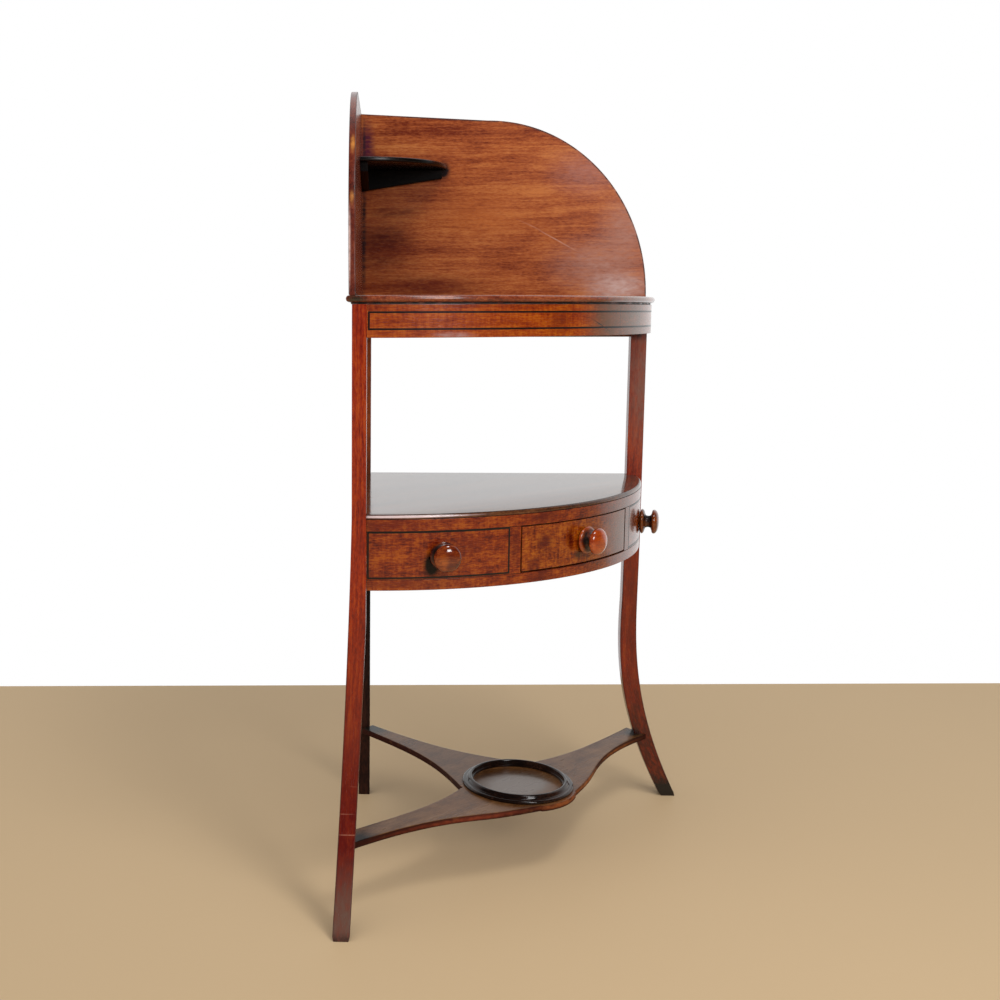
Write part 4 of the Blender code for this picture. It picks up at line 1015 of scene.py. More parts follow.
def nose(low: float, high: float, lower: float, upper: float, steps: int = 6) -> Array:
    """(inset, height) up a board's edge with quarter-round arrises of radius lower and upper.

    Args:
        low: The lower face's height.
        high: The upper face's height.
        lower: The lower arris's radius.
        upper: The upper arris's radius.
        steps: Segments in each arris.

    Returns:
        The rows, from the lower face to the upper.
    """
    turn = np.linspace(0.0, QUARTER, steps + 1)
    foot = np.stack([lower * (1 - np.sin(turn)), low + lower * (1 - np.cos(turn))], axis=-1)
    head = np.stack([upper * (1 - np.sin(turn)), high - upper * (1 - np.cos(turn))], axis=-1)
    return np.concatenate([foot, head[::-1]])


def face_bearing(centre: float, radius: Array, inward: float) -> Array:
    """The bearing at which an arc about (centre, centre) stands inward from the left wall."""
    return np.arcsin((inward - centre) / radius)


def inset_outline(outline: Array, inset: float) -> Array:
    """A closed outline moved in by inset along each point's mean normal.

    Args:
        outline: The outline, as rows.
        inset: How far in.

    Returns:
        The moved outline.
    """
    along = np.roll(outline, -1, 0) - np.roll(outline, 1, 0)
    normal = np.stack([-along[:, 1], along[:, 0]], axis=-1)
    normal /= np.linalg.norm(normal, axis=-1, keepdims=True)
    area = np.sum(outline[:, 0] * np.roll(outline[:, 1], -1) - np.roll(outline[:, 0], -1) * outline[:, 1])
    return outline + normal * (inset if area > 0 else -inset)


def revolve(skin: Skin, profile: Array, sides: int, edge: Array | float = 0.0) -> Array:
    """Turn a (radius, height) profile about Z.

    The point at bearing t is (r cos t, r sin t, height), and its wood coordinate the same point.

    Args:
        skin: Where it is added.
        profile: Radius and height, as rows; a closed ring's profile doesn't repeat its first row.
        sides: Points round the turning.
        edge: The edge attribute of each row.

    Returns:
        The points' numbers, rows by columns.
    """
    turn = np.linspace(0.0, 2 * HALF_TURN, sides, endpoint=False)[None, :]
    radius, height = profile[:, :1], profile[:, 1:]
    points = join(radius * np.cos(turn), radius * np.sin(turn), height)
    return skin.grid(points, points, edge)


@dataclass(frozen=True)
class Bow:
    """A bowed front about the point (centre, centre) from the two walls."""

    centre: float
    radius: float
    leg_face: float = 0.0191

    def turns(self, radius: Array, start: float | None, end: float | None, stations: int) -> Array:
        """Bearings of each station for each radius; None means square against that front leg.

        Args:
            radius: The radii, one for each point of the profile.
            start: The first bearing.
            end: The last bearing.
            stations: How many.

        Returns:
            Stations by radii of bearings.
        """
        leg = face_bearing(self.centre, radius, self.leg_face)
        first = leg if start is None else self.cut(radius, start)
        last = QUARTER - leg if end is None else self.cut(radius, end)
        return first + (last - first) * np.linspace(0.0, 1.0, stations)[:, None]

    def cut(self, radius: Array, bearing: float) -> Array:
        """Bearings at each radius of a cut that runs straight back from the face at a bearing."""
        aside = self.radius * math.sin(bearing - EIGHTH)
        return EIGHTH + np.arcsin(aside / radius)

    def at(self, turn: Array, radius: Array, height: Array) -> Array:
        """Places on the bow."""
        return CORNER.place(self.centre + radius * np.cos(turn), self.centre + radius * np.sin(turn), height)

    def block(self, name: str, depth: float, height: tuple[float, float], arris: float,
              start: float | None = None, end: float | None = None, stations: int = 120,
              shift: float = 0.0) -> Skin:
        """A rounded bar carried along the bow.

        The profile is a box of depth by height with its corners rounded; each station places it at
        centre + radius (cos, sin) of its bearing.

        Args:
            name: The piece's name.
            depth: From the face inwards.
            height: From and to.
            arris: The rounding of its edges.
            start: The first bearing, or None at the left leg.
            end: The last bearing, or None at the right leg.
            stations: How many along the bow.
            shift: Moves the wood's pattern.

        Returns:
            The skin.
        """
        low, high = height
        outer, inner = self.radius, self.radius - depth
        box = np.array([[outer, low], [outer, high], [inner, high], [inner, low]])
        profile = rounded(box, arris)
        turn = self.turns(profile[:, 0], start, end, stations)
        points = self.at(turn, profile[:, 0], profile[:, 1])
        wood = join(turn * self.radius + shift, profile[:, 1] + shift, profile[:, 0])
        return Skin(name).solid(points, wood, arris_edge(len(box)))

    def line_loop(self, name: str, start: float, end: float, height: tuple[float, float],
                  width: float = 0.0024, depth: float = 0.0012, proud: float = 0.00005,
                  stations: int = 80) -> Skin:
        """A closed loop of line let into the bow.

        It runs along the lower edge and back along the upper one; its section has four corners,
        outside and inside the loop, at the depth and at the face.

        Args:
            name: The piece's name.
            start: The first bearing.
            end: The last bearing.
            height: The heights of the lower and the upper line.
            width: The line's width.
            depth: How deep it is let in.
            proud: How far it stands out.
            stations: How many points each of its two long runs has.

        Returns:
            The skin.
        """
        rise = width / 2
        spread = rise / self.radius
        inner = np.linspace(0.0, 1.0, stations)[1:-1]
        rings = []
        for face, way in ((-depth, 1), (-depth, -1), (proud, -1), (proud, 1)):
            middle = start + (end - start) * inner
            line = np.concatenate([[start - way * spread], middle, [end + way * spread]])
            loop = np.concatenate([line, line[::-1]])
            level = np.repeat([height[0] - way * rise, height[1] + way * rise], len(line))
            rings.append(self.at(loop, self.radius + face, level))
        points = np.stack(rings)
        skin = Skin(name)
        skin.grid(points, points, wrap_rows=True)
        return skin


def slab(name: str, outline_at: Callable[[float], Array], profile: Array, edge: Array | float = 0.0,
         shift: float = 0.0) -> Skin:
    """A board with a shaped edge.

    Each row of the profile gives an inset and a height, and the outline at that inset is one ring.

    Args:
        name: The piece's name.
        outline_at: Gives (left, right) rows at an inset.
        profile: (inset, height) rows from the lower face to the upper.
        edge: The edge attribute of each row.
        shift: Moves the wood's pattern.

    Returns:
        The skin.
    """
    points = np.stack([CORNER.place(*outline_at(inset).T, height) for inset, height in profile])
    edge = np.broadcast_to(edge, len(profile))[:, None]
    return Skin(name).solid(points, points + shift, edge)


def plate(name: str, side: Side, outline: Array, inward: tuple[float, float], arris: float,
          shift: float = 0.0, lean: Callable[[Array], Array] = np.zeros_like) -> Skin:
    """A board along one wall with rounded edges.

    Each ring is the outline moved in by the rounding's inset, at the rounding's depth less the
    lean at its height.

    Args:
        name: The piece's name.
        side: Its wall.
        outline: (along, height) rows.
        inward: From and to.
        arris: The rounding of its edges.
        shift: Moves the wood's pattern.
        lean: How far it stands out at each height.

    Returns:
        The skin.
    """
    profile = nose(inward[0], inward[1], arris, arris, 3)
    profile = np.concatenate([profile[:1] + (DIRT, 0.0), profile, profile[-1:] + (DIRT, 0.0)])
    rings, woods = [], []
    for inset, depth in profile:
        ring = inset_outline(outline, inset)
        rings.append(CORNER.beside(side, ring[:, 0], depth - lean(ring[:, 1]), ring[:, 1]))
        woods.append(join(ring[:, 0] + shift, ring[:, 1] + shift, depth))
    return Skin(name).solid(np.stack(rings), np.stack(woods), np.array(PLATE_EDGE)[:, None])


# Sub-assemblies


@dataclass
class Assembly:
    """A sub-assembly.

    Attributes:
        palette: Every finish by its name.
    """

    palette: dict[str, bpy.types.Material]

    def dress(self, skin: Skin, finish: str, node: str, slot: Slot, body: str = STAND,
              crease: float = 38.0) -> None:
        """Make one piece.

        Args:
            skin: Its surface.
            finish: Its finish.
            node: The solid that it stands for.
            slot: The record's material slot.
            body: The body it rides on.
            crease: The angle in degrees from which an edge stays sharp.
        """
        skin.build(self.palette[finish], node, slot, body, crease)


@dataclass
class Legs(Assembly):
    """Two splayed and swept front legs and a square back leg."""

    top: float = 0.8184
    tier: float = 0.5477
    case_bottom: float = 0.4469
    face: float = 0.4555
    across: float = 0.0188
    lower_across: float = 0.0230
    depth: float = 0.0247
    foot_depth: float = 0.0255
    knee: float = 0.0030
    lean: float = 0.0228
    lean_power: float = 1.28
    sweep: float = 0.0778
    sweep_start: float = 0.340
    sweep_power: float = 2.6
    sweep_early: float = 0.45
    arris: float = 0.0005
    worn_arris: float = 0.0020
    back: float = 0.0184
    stations: int = 150
    back_stations: int = 30
    sole_round: float = 0.0012
    wear_run: float = 0.08
    right_shift: float = 0.3

    def edges(self, height: Array) -> tuple[Array, Array, Array, Array]:
        """Outer, inner, rear and front faces of a front leg at each height.

        The lean grows as a power of the drop below the tier, and the sweep as a power of the drop
        below its start; the inner face stays plumb until the leg is as thick as its foot.

        Args:
            height: The heights.

        Returns:
            Inward of the outer face, inward of the inner face, along of the rear and of the front.
        """
        drop = np.clip((self.tier - height) / self.tier, 0.0, 1.0)
        low = np.clip((self.sweep_start - height) / self.sweep_start, 0.0, 1.0)
        lean = self.lean * drop**self.lean_power
        sweep = self.sweep * low**self.sweep_power * (1 + self.sweep_early * (1 - low))
        depth = self.depth + (self.foot_depth - self.depth) * low + self.knee * np.sin(HALF_TURN * low)
        inner = np.minimum(self.across, self.lower_across - lean)
        return -lean, inner, self.face + sweep - depth, self.face + sweep

    def front_leg(self, side: Side) -> Skin:
        """One front leg: a rounded section carried down through the stations.

        Args:
            side: Its wall.

        Returns:
            The skin.
        """
        height = np.linspace(self.top, 0.0, self.stations)
        shrink = self.sole_round * np.clip(1.0 - height / self.sole_round, 0.0, 1.0) ** 2
        outer, inner, rear, front = self.edges(height)
        rear_in, front_in, outer_in, inner_in = rear + shrink, front - shrink, outer + shrink, inner - shrink
        corners = np.stack([join(rear_in, outer_in), join(front_in, outer_in), join(front_in, inner_in),
                            join(rear_in, inner_in)], axis=1)
        worn = np.clip((self.case_bottom - height) / self.wear_run, 0.0, 1.0)[:, None, None]
        section = rounded(corners, self.arris + (self.worn_arris - self.arris) * worn)
        along, inward = section[..., 0], section[..., 1]
        points = CORNER.beside(side, along, inward, height[:, None])
        middle = join((rear + front) / 2, (outer + inner) / 2, height)
        step = np.linalg.norm(np.diff(middle, axis=0, prepend=middle[:1]), axis=-1)
        run = np.cumsum(step)[:, None] + (self.right_shift if side is Side.RIGHT else 0.0)
        wood = join(run, inward - middle[:, 1:2], along - middle[:, :1])
        return Skin(side.value + "_leg_swept").solid(points, wood, arris_edge(4) * worn[:, :, 0])

    def back_leg(self) -> Skin:
        """The square back leg, its arrises rounded.

        Returns:
            The skin.
        """
        corners = np.array([[0.0, 0.0], [self.back, 0.0], [self.back, self.back], [0.0, self.back]])
        outline = rounded(corners, self.arris)
        height = np.linspace(self.top, 0.0, self.back_stations)[:, None]
        points = CORNER.place(outline[:, 0], outline[:, 1], height)
        return Skin("back_leg_squared").solid(points, join(height, outline[:, 0], outline[:, 1]))

    def build(self) -> None:
        """Make and dress the three legs."""
        for side in Side:
            self.dress(self.front_leg(side), "leg", side.value + "_leg", Slot.RED)
        self.dress(self.back_leg(), "back_leg", "back_leg", Slot.DARK)


@dataclass
class Top(Assembly):
    """The moulded top board, the frieze under it and the two back boards."""

    underside: float = 0.8187
    thickness: float = 0.0110
    radius: float = TOP_BOW[1]
    quirk: float = 0.0023
    quirk_depth: float = 0.0062
    nose_radius: float = 0.0043
    frieze: Bow = Bow(*FRIEZE_BOW)
    frieze_height: float = 0.0427
    frieze_depth: float = 0.0150
    frieze_arris: float = 0.0006
    line_heights: tuple[float, float] = (0.7870, 0.8083)
    line_bearing: float = math.radians(2.7)
    # Painted shade: the near-black edge colour in the quirk under the nose, row by row up the profile.
    foot_dirt: tuple[float, ...] = (1.0, 1.0, 1.0, 0.6)
    board: float = 0.0088
    stands_out: float = 0.0042
    reach: float = 0.4547
    shoulder: float = 0.2000
    corner_height: float = 1.1186
    right_shoulder: float = 1.1060
    left_shoulder: float = 1.1165
    board_arris: float = 0.0010
    lean: float = 0.0030
    left_shift: float = 0.41
    bow_points: int = 150
    side_points: int = 12
    curve_points: int = 90
    head_points: int = 10

    @property
    def base(self) -> float:
        """The height at which the back boards begin."""
        return self.underside + self.thickness + GAP

    def lean_at(self, height: Array) -> Array:
        """How far the left board stands out from its wall, in proportion to the height above its base."""
        return self.lean * (height - self.base) / (self.corner_height - self.base)

    def outline_at(self, inset: float) -> Array:
        """The corner, then the bow from one overhanging side to the other, all moved in by inset.

        Args:
            inset: How far in.

        Returns:
            (left, right) rows.
        """
        edge = inset - OVERHANG
        radius = self.radius - inset
        start = face_bearing(0.0, radius, edge)
        bow = circle(np.linspace(start, QUARTER - start, self.bow_points), radius)
        sides = np.linspace(0.0, 1.0, self.side_points)[1:-1, None]
        corner = np.array([[edge, edge]])
        return np.concatenate([corner, corner + (bow[0] - corner) * sides, bow,
                               bow[-1] + (corner - bow[-1]) * sides])

    def board_outline(self, shoulder_height: float, start: float, top_start: float) -> Array:
        """A falling top edge, then a quarter ellipse down to the top board.

        Args:
            shoulder_height: Where the ellipse meets the top edge.
            start: Where the lower edge begins along the wall.
            top_start: Where the top edge begins along the wall.

        Returns:
            (along, height) rows.
        """
        base = self.base
        turn = np.linspace(0.0, QUARTER, self.curve_points)
        curve = join(self.shoulder + (self.reach - self.shoulder) * np.cos(turn),
                     base + (shoulder_height - base) * np.sin(turn))
        head = np.linspace(0.0, 1.0, self.head_points)[1:, None]
        corner = np.array([[top_start, self.corner_height]])
        foot = np.array([[start, base]])
        edge = curve[-1:] + (corner - curve[-1:]) * head
        return np.concatenate([foot, curve, edge])

    def build(self) -> None:
        """Make and dress the top board, frieze, line and back boards."""
        low, high = self.underside + self.quirk, self.underside + self.thickness
        profile = np.concatenate([[[self.quirk_depth, self.underside], [self.quirk_depth, low]],
                                  nose(low, high, self.nose_radius, self.nose_radius)])
        edge = np.zeros(len(profile))
        edge[:len(self.foot_dirt)] = self.foot_dirt
        self.dress(slab("top_board_moulded", self.outline_at, profile, edge), "top", "top_board", Slot.GOLDEN)
        height = (self.underside - self.frieze_height, self.underside - GAP)
        rail = self.frieze.block("frieze_rail_bowed", self.frieze_depth, height, self.frieze_arris)
        self.dress(rail, "frieze", "frieze_rail", Slot.GOLDEN)
        ends = (self.line_bearing, QUARTER - self.line_bearing)
        self.dress(self.frieze.line_loop("frieze_line", *ends, self.line_heights), "line", "frieze_string",
                   Slot.BLACK)
        inner, outer = self.board - self.stands_out, -self.stands_out
        right = self.board_outline(self.right_shoulder, outer, outer - self.lean)
        left = self.board_outline(self.left_shoulder, inner + GAP, inner + GAP)
        right = plate("right_board_shaped", Side.RIGHT, right, (outer, inner), self.board_arris)
        left = plate("left_board_shaped", Side.LEFT, left, (outer, inner), self.board_arris, self.left_shift,
                     self.lean_at)
        self.dress(right, "board", "right_back_board", Slot.GOLDEN)
        self.dress(left, "left_board", "left_back_board", Slot.GOLDEN)


@dataclass
class CornerShelf(Assembly):
    """The quadrant shelf on two tapered bearers."""

    face: float = 0.0049
    radius: float = 0.1390
    underside: float = 1.0305
    thickness: float = 0.0070
    nose_radius: float = 0.0025
    # Painted highlight: the lip's pale edge colour along the nose's upper arris.
    nose_wear: tuple[float, float] = (0.5, 1.0)
    bearer: float = 0.1290
    bearer_thickness: float = 0.0110
    bearer_arris: float = 0.0008
    outer_depth: float = 0.0135
    corner_depth: float = 0.0320
    bow_points: int = 60
    boards: Top = field(default_factory=lambda: Top({}))

    def outline_at(self, inset: float) -> Array:
        """The corner between the boards, then the quadrant's bow moved in by inset.

        Args:
            inset: How far in.

        Returns:
            (left, right) rows.
        """
        radius = self.radius - inset
        start = face_bearing(0.0, radius, self.face)
        bow = circle(np.linspace(start, QUARTER - start, self.bow_points), radius)
        return np.concatenate([[[self.face, self.face]], bow]) - (0.0, self.boards.lean_at(self.underside))

    def build(self) -> None:
        """Make and dress the shelf and its bearers."""
        profile = nose(self.underside, self.underside + self.thickness, self.nose_radius, self.nose_radius)
        edge = np.zeros(len(profile))
        edge[-3:-1] = self.nose_wear
        shelf = slab("corner_shelf_nosed", self.outline_at, profile, edge)
        self.dress(shelf, "lip", "corner_shelf", Slot.DARK)
        top = self.underside - GAP
        low, corner_low = top - self.outer_depth, top - self.corner_depth
        lean_at = self.boards.lean_at
        right = np.array([(self.face - lean_at(top), top), (self.bearer, top), (self.bearer, low),
                          (self.face - lean_at(corner_low), corner_low)])
        begin = self.face + self.bearer_thickness + GAP
        rise = (corner_low - low) * (begin - self.face) / (self.bearer - self.face)
        left = np.array([(begin, top), (self.bearer, top), (self.bearer, low), (begin, corner_low - rise)])
        inward = (self.face, self.face + self.bearer_thickness)
        right = plate("right_bearer_tapered", Side.RIGHT, right, inward, self.bearer_arris)
        left = plate("left_bearer_tapered", Side.LEFT, left, inward, self.bearer_arris, lean=lean_at)
        self.dress(right, "shelf", "right_shelf_bearer", Slot.BLACK)
        self.dress(left, "shelf", "left_shelf_bearer", Slot.BLACK)


@dataclass
class Tier(Assembly):
    """The tier board and the bowed case under it."""

    bow: Bow = Bow(*CASE_BOW)
    top: float = 0.5477
    thickness: float = 0.0060
    nose_radius: float = 0.0036
    foot_radius: float = 0.0010
    # Painted shade, with some grime, in the joint under the nose's lower arris.
    foot_dirt: float = 1.0
    head_dirt: float = 0.8
    case_bottom: float = 0.4469
    panel_bottom: float = 0.4612
    panel_top: float = 0.5256
    line_heights: tuple[float, float] = (0.4637, 0.5243)
    front: float = 0.0180
    top_depth: float = 0.0300
    bottom_depth: float = 0.0400
    half_angle: float = math.radians(16.05)
    panel_side: float = math.radians(26.50)
    margin: float = 0.0020
    notch: float = 0.0191
    back: float = 0.4305
    block: float = 0.0187
    rail_arris: float = 0.0005
    front_arris: float = 0.0003
    board_shift: float = 0.2
    bottom_shift: float = 0.37
    left_shift: float = 0.11
    right_shift: float = 0.63
    bow_points: int = 140
    front_stations: int = 60

    def outline_at(self, inset: float) -> Array:
        """The bow moved in by inset, then the notches round the three legs.

        Args:
            inset: How far in.

        Returns:
            (left, right) rows.
        """
        radius = self.bow.radius - inset
        start = face_bearing(self.bow.centre, radius, self.notch)
        bow = self.bow.centre + circle(np.linspace(start, QUARTER - start, self.bow_points), radius)
        corners = [(self.notch, self.back), (0.0, self.back), (0.0, self.block), (self.block, self.block),
                   (self.block, 0.0), (self.back, 0.0), (self.back, self.notch)]
        return np.concatenate([bow, corners])

    def build(self) -> None:
        """Make and dress the tier board, the case rails, the dummy fronts and their lines."""
        underside = self.top - self.thickness
        profile = nose(underside, self.top, self.foot_radius, self.nose_radius)
        edge = np.zeros(len(profile))
        edge[:4], edge[-3:-1] = self.foot_dirt, self.head_dirt
        board = slab("tier_board_notched", self.outline_at, profile, edge, self.board_shift)
        self.dress(board, "tier", "tier_board", Slot.GOLDEN)
        above, below = (self.panel_top, underside - GAP), (self.case_bottom, self.panel_bottom)
        rails = {"case_top_rail": (self.top_depth, above, 0.0),
                 "case_bottom_rail": (self.bottom_depth, below, self.bottom_shift)}
        for name, (depth, height, shift) in rails.items():
            rail = self.bow.block(name + "_bowed", depth, height, self.rail_arris, shift=shift)
            self.dress(rail, "case", name, Slot.GOLDEN)
        opening = EIGHTH - self.half_angle
        leg = float(face_bearing(self.bow.centre, np.array(self.bow.radius), self.bow.leg_face))
        end = leg + self.margin / self.bow.radius
        ends = {Side.LEFT: (None, opening, (end, self.panel_side), self.left_shift),
                Side.RIGHT: (QUARTER - opening, None, (QUARTER - self.panel_side, QUARTER - end),
                             self.right_shift)}
        height = (self.panel_bottom + GAP, self.panel_top - GAP)
        for side, (start, stop, line, shift) in ends.items():
            name = side.value
            front = self.bow.block(name + "_dummy_bowed", self.front, height, self.front_arris, start, stop,
                                   self.front_stations, shift)
            self.dress(front, "case", name + "_dummy_front", Slot.GOLDEN)
            loop = self.bow.line_loop(name + "_panel_line", *line, self.line_heights)
            self.dress(loop, "line", name + "_panel_string", Slot.BLACK)


@dataclass
class DrawerBox(Assembly):
    """The drawer's bowed front; its box stays as packed, in raw oak."""

    bow: Bow = Bow(*CASE_BOW)
    thickness: float = 0.0140
    half_angle: float = math.radians(16.05)
    end_gap: float = 0.0026
    recess: float = 0.0004
    height: tuple[float, float] = (0.4632, 0.5243)
    arris: float = 0.0007
    wood_shift: float = 0.83
    stations: int = 60

    def build(self) -> None:
        """Make and dress the bowed front, flat behind.

        The face follows the bow between its two ends, and the back is one straight line across.
        """
        half = self.half_angle - self.end_gap / self.bow.radius
        turn = np.linspace(-half, half, self.stations)
        centre = CORNER.origin_place - self.bow.centre * ROOT2
        flat = self.bow.radius * math.cos(half) - self.thickness
        low, high = self.height
        depth = self.thickness
        box = rounded(np.array([[depth, low], [depth, high], [0.0, high], [0.0, low]]), self.arris)
        depth_share = box[:, 0] / depth
        face = (self.bow.radius - self.recess) * np.cos(turn)[:, None]
        y = centre - (flat + (face - flat) * depth_share)
        x = self.bow.radius * np.sin(turn)[:, None]
        z = box[:, 1]
        wood = join(x + self.wood_shift, z + self.wood_shift, depth_share * depth)
        skin = Skin("drawer_front_bowed").solid(join(x, y, z), wood, arris_edge(4))
        self.dress(skin, "drawer", "drawer_front", Slot.GOLDEN, DRAWER)


@dataclass
class Knobs(Assembly):
    """Three turned knobs with a round collar, a waist and a domed head.

    Attributes:
        collar: Its radius and length, as for the waist and the head.
        collar_shares: Its profile in shares of both, as for the waist and the head.
        fades: Up each member, the two length shares between which its dark edge, painted shade with grime in
            the waist, goes from one value to another.
        places: Each knob's name, bearing in degrees, height and body.
    """

    bow: Bow = Bow(CASE_BOW[0], CASE_BOW[1] + GAP)
    collar: tuple[float, float] = (0.0189, 0.0076)
    waist: tuple[float, float] = (0.0089, 0.0102)
    head: tuple[float, float] = (0.0185, 0.0113)
    spigot: float = 0.0060
    spigot_depth: float = 0.0040
    collar_shares: tuple = ((0.80, 0.0), (0.86, 0.16), (0.96, 0.30), (1.0, 0.50), (0.96, 0.72),
                            (0.84, 0.90), (0.70, 1.0))
    waist_shares: tuple = ((1.10, 0.12), (1.0, 0.35), (1.0, 0.68), (1.12, 0.88))
    head_shares: tuple = ((0.70, 0.0), (0.90, 0.08), (0.98, 0.20), (1.0, 0.34), (0.96, 0.52), (0.84, 0.71),
                          (0.63, 0.87), (0.34, 0.97), (0.06, 1.0))
    fades: tuple = ((0.62, 1.0, 0.0, 1.0), (-2.0, -1.0, 0.0, 1.0), (0.0, 0.16, 1.0, 0.0))
    places: tuple = (("left", 13.9, 0.4927, STAND), ("drawer", 45.0, 0.4950, DRAWER),
                     ("right", 75.7, 0.4893, STAND))
    wood_shift: float = 0.17
    crease: float = 50.0
    sides: int = 64

    def profile(self) -> tuple[Array, Array]:
        """(radius, height) up the turning: each member is a smooth curve through its shares.

        Returns:
            The profile, and the dark edge attribute, which paints shade with grime: full in the waist and
            fading into its neighbours.
        """
        spigot = np.array([[self.spigot, -self.spigot_depth], [self.spigot, 0.0]])
        foot, rows, dark = 0.0, [spigot], [np.zeros(2)]
        for shares, (radius, length), fade in zip((self.collar_shares, self.waist_shares, self.head_shares),
                                                  (self.collar, self.waist, self.head), self.fades):
            member = smooth_curve(np.array(shares), 4)
            rows.append(member * (radius, length) + (0.0, foot))
            # The dark edge paints shade, with grime, into the waist and the collar's face beside it.
            dark.append(np.interp(member[:, 1], fade[:2], fade[2:]))
            foot += length
        return np.concatenate(rows), np.concatenate(dark)

    def build(self) -> None:
        """Make and dress the knobs: each turning is laid along its bow's normal."""
        profile, dark = self.profile()
        for number, (name, bearing, height, body) in enumerate(self.places):
            turn = math.radians(bearing)
            skin = Skin(name + "_knob_turned")
            index = revolve(skin, profile, self.sides, dark[:, None])
            top = np.array([0.0, 0.0, profile[-1, 1]])
            skin.tip(index[-1], top, top)
            skin.cap(index[0])
            place = self.bow.at(turn, self.bow.radius, height)
            turned = np.array((Matrix.Rotation(-EIGHTH + turn, 3, "Z")
                               @ Matrix.Rotation(QUARTER, 3, "X")).transposed())
            skin.points = [points @ turned + place for points in skin.points]
            skin.wood = [wood + self.wood_shift * (number + 1) for wood in skin.wood]
            finish = "bright_knob" if body == DRAWER else "knob"
            self.dress(skin, finish, name + "_knob", Slot.RED, body, self.crease)


@dataclass
class Stretcher(Assembly):
    """The Y-shaped stretcher with its sunk centre and ring.

    Attributes:
        ring_place: How far the ring's centre lies from the room corner.
        right_shares: The right arm's front edge, in shares of its reach and the centre's radius; the other
            shares give the left arm's, each front arm's rear edge and the back arm's edges.
        ring_profile: Radius and height round the ring moulding's section.
    """

    ring_place: float = 0.34370
    top: float = 0.1100
    back_top: float = 0.1180
    thickness: float = 0.0093
    radius: float = 0.0870
    arm_angle: float = math.radians(2.0)
    right_reach: float = 0.3380
    left_reach: float = 0.3300
    back_reach: float = 0.32348
    recess_radius: float = 0.0665
    recess: float = 0.0020
    arris: float = 0.0013
    figure: float = 0.2900
    arm_steps: int = 12
    rim_points: int = 20
    ring_sides: int = 160
    least_turn: float = 1e-4
    centre_shares: tuple[float, ...] = (0.25, 0.6, 1.0)
    right_shares: tuple = ((0.112, 0.878), (0.315, 0.645), (0.450, 0.430), (0.740, 0.145),
                           (0.900, 0.115), (1.0, 0.127))
    left_shares: tuple = ((0.112, 0.878), (0.315, 0.645), (0.450, 0.430), (0.740, 0.140), (1.0, 0.061))
    rear_shares: tuple = ((1.0, -0.328), (0.735, -0.274), (0.360, -0.345), (0.230, -0.467))
    back_shares: tuple = ((0.133, 0.886), (0.262, 0.651), (0.454, 0.379), (1.0, 0.144))
    ring_profile: tuple = (
        (0.0665, 0.0003), (0.0665, 0.0032), (0.0667, 0.0037), (0.0673, 0.0038), (0.0676, 0.0042),
        (0.0677, 0.0066), (0.0680, 0.0088), (0.0688, 0.0103), (0.0705, 0.0107), (0.0722, 0.0102),
        (0.0736, 0.0088), (0.0745, 0.0066), (0.0756, 0.0053), (0.0772, 0.0050), (0.0790, 0.0050),
        (0.0806, 0.0046), (0.0817, 0.0034), (0.0820, 0.0018), (0.0816, 0.0003))

    def outline(self) -> Array:
        """The plan about the ring's centre, anticlockwise.

        Returns:
            (x, y) rows, x to the right and y to the back.
        """
        halves = []
        for reach, shares in ((self.right_reach, self.right_shares), (self.left_reach, self.left_shares)):
            front = fair_curve(np.array(shares) * (reach, self.radius), self.arm_steps)
            rear = fair_curve(np.array(self.rear_shares) * (reach, self.radius), self.arm_steps)
            run, rise = np.concatenate([front, rear]).T
            cosine, sine = math.cos(self.arm_angle), math.sin(self.arm_angle)
            arm = join(run * cosine + rise * sine, run * sine - rise * cosine)
            back = np.array(self.back_shares)[:, ::-1] * (self.radius, self.back_reach)
            back = fair_curve(back, self.arm_steps)[1:]
            turn = np.linspace(-QUARTER, math.atan2(arm[0, 1], arm[0, 0]), self.rim_points, endpoint=False)
            halves.append(np.concatenate([circle(turn, self.radius), arm, back]))
        mirrored = halves[1][:0:-1] * (-1, 1)
        return np.concatenate([halves[0], mirrored])

    def settle(self, skin: Skin) -> None:
        """Tilt the skin so that its back arm is higher, and place it at the ring's centre.

        Args:
            skin: What is moved.
        """
        rise = math.atan2(self.back_top - self.top, self.back_reach)
        tilt = np.array(Matrix.Rotation(rise, 3, "X").transposed())
        centre = np.array([0.0, CORNER.origin_place - self.ring_place, self.top])
        skin.points = [points @ tilt + centre for points in skin.points]

    def platform(self) -> Skin:
        """The three-armed board.

        Rings run from the middle of the sunk centre out over its wall, across the face to the
        outline, round the rounded edge and under; each ring has the outline's bearings, which always
        rise by a little, so that no two faces cross.

        Returns:
            The skin.
        """
        outline = self.outline()
        least = self.least_turn * np.arange(len(outline))
        bearing = np.unwrap(np.arctan2(outline[:, 1], outline[:, 0]))
        bearing = np.maximum.accumulate(bearing - least) + least
        profile = nose(-self.thickness, 0.0, self.arris, self.arris, 3)[::-1]
        profile = np.concatenate([profile[:1] + (STRIP, 0.0), profile])
        plans = [(circle(bearing, self.recess_radius * share), -self.recess) for share in self.centre_shares]
        plans.append((circle(bearing, self.recess_radius), 0.0))
        plans += [(inset_outline(outline, inset), height) for inset, height in profile]
        rings = [np.column_stack([plan, np.full(len(plan), height)]) for plan, height in plans]
        points = np.stack(rings)
        edge = np.zeros((len(rings), 1))
        edge[len(rings) - len(profile) + 3 : -1] = 1.0
        skin = Skin("stretcher_shaped")
        index = skin.grid(points, points + self.figure, edge)
        skin.tip(index[0], np.array([0.0, 0.0, -self.recess]), np.full(3, self.figure))
        skin.cap(index[-1])
        return skin

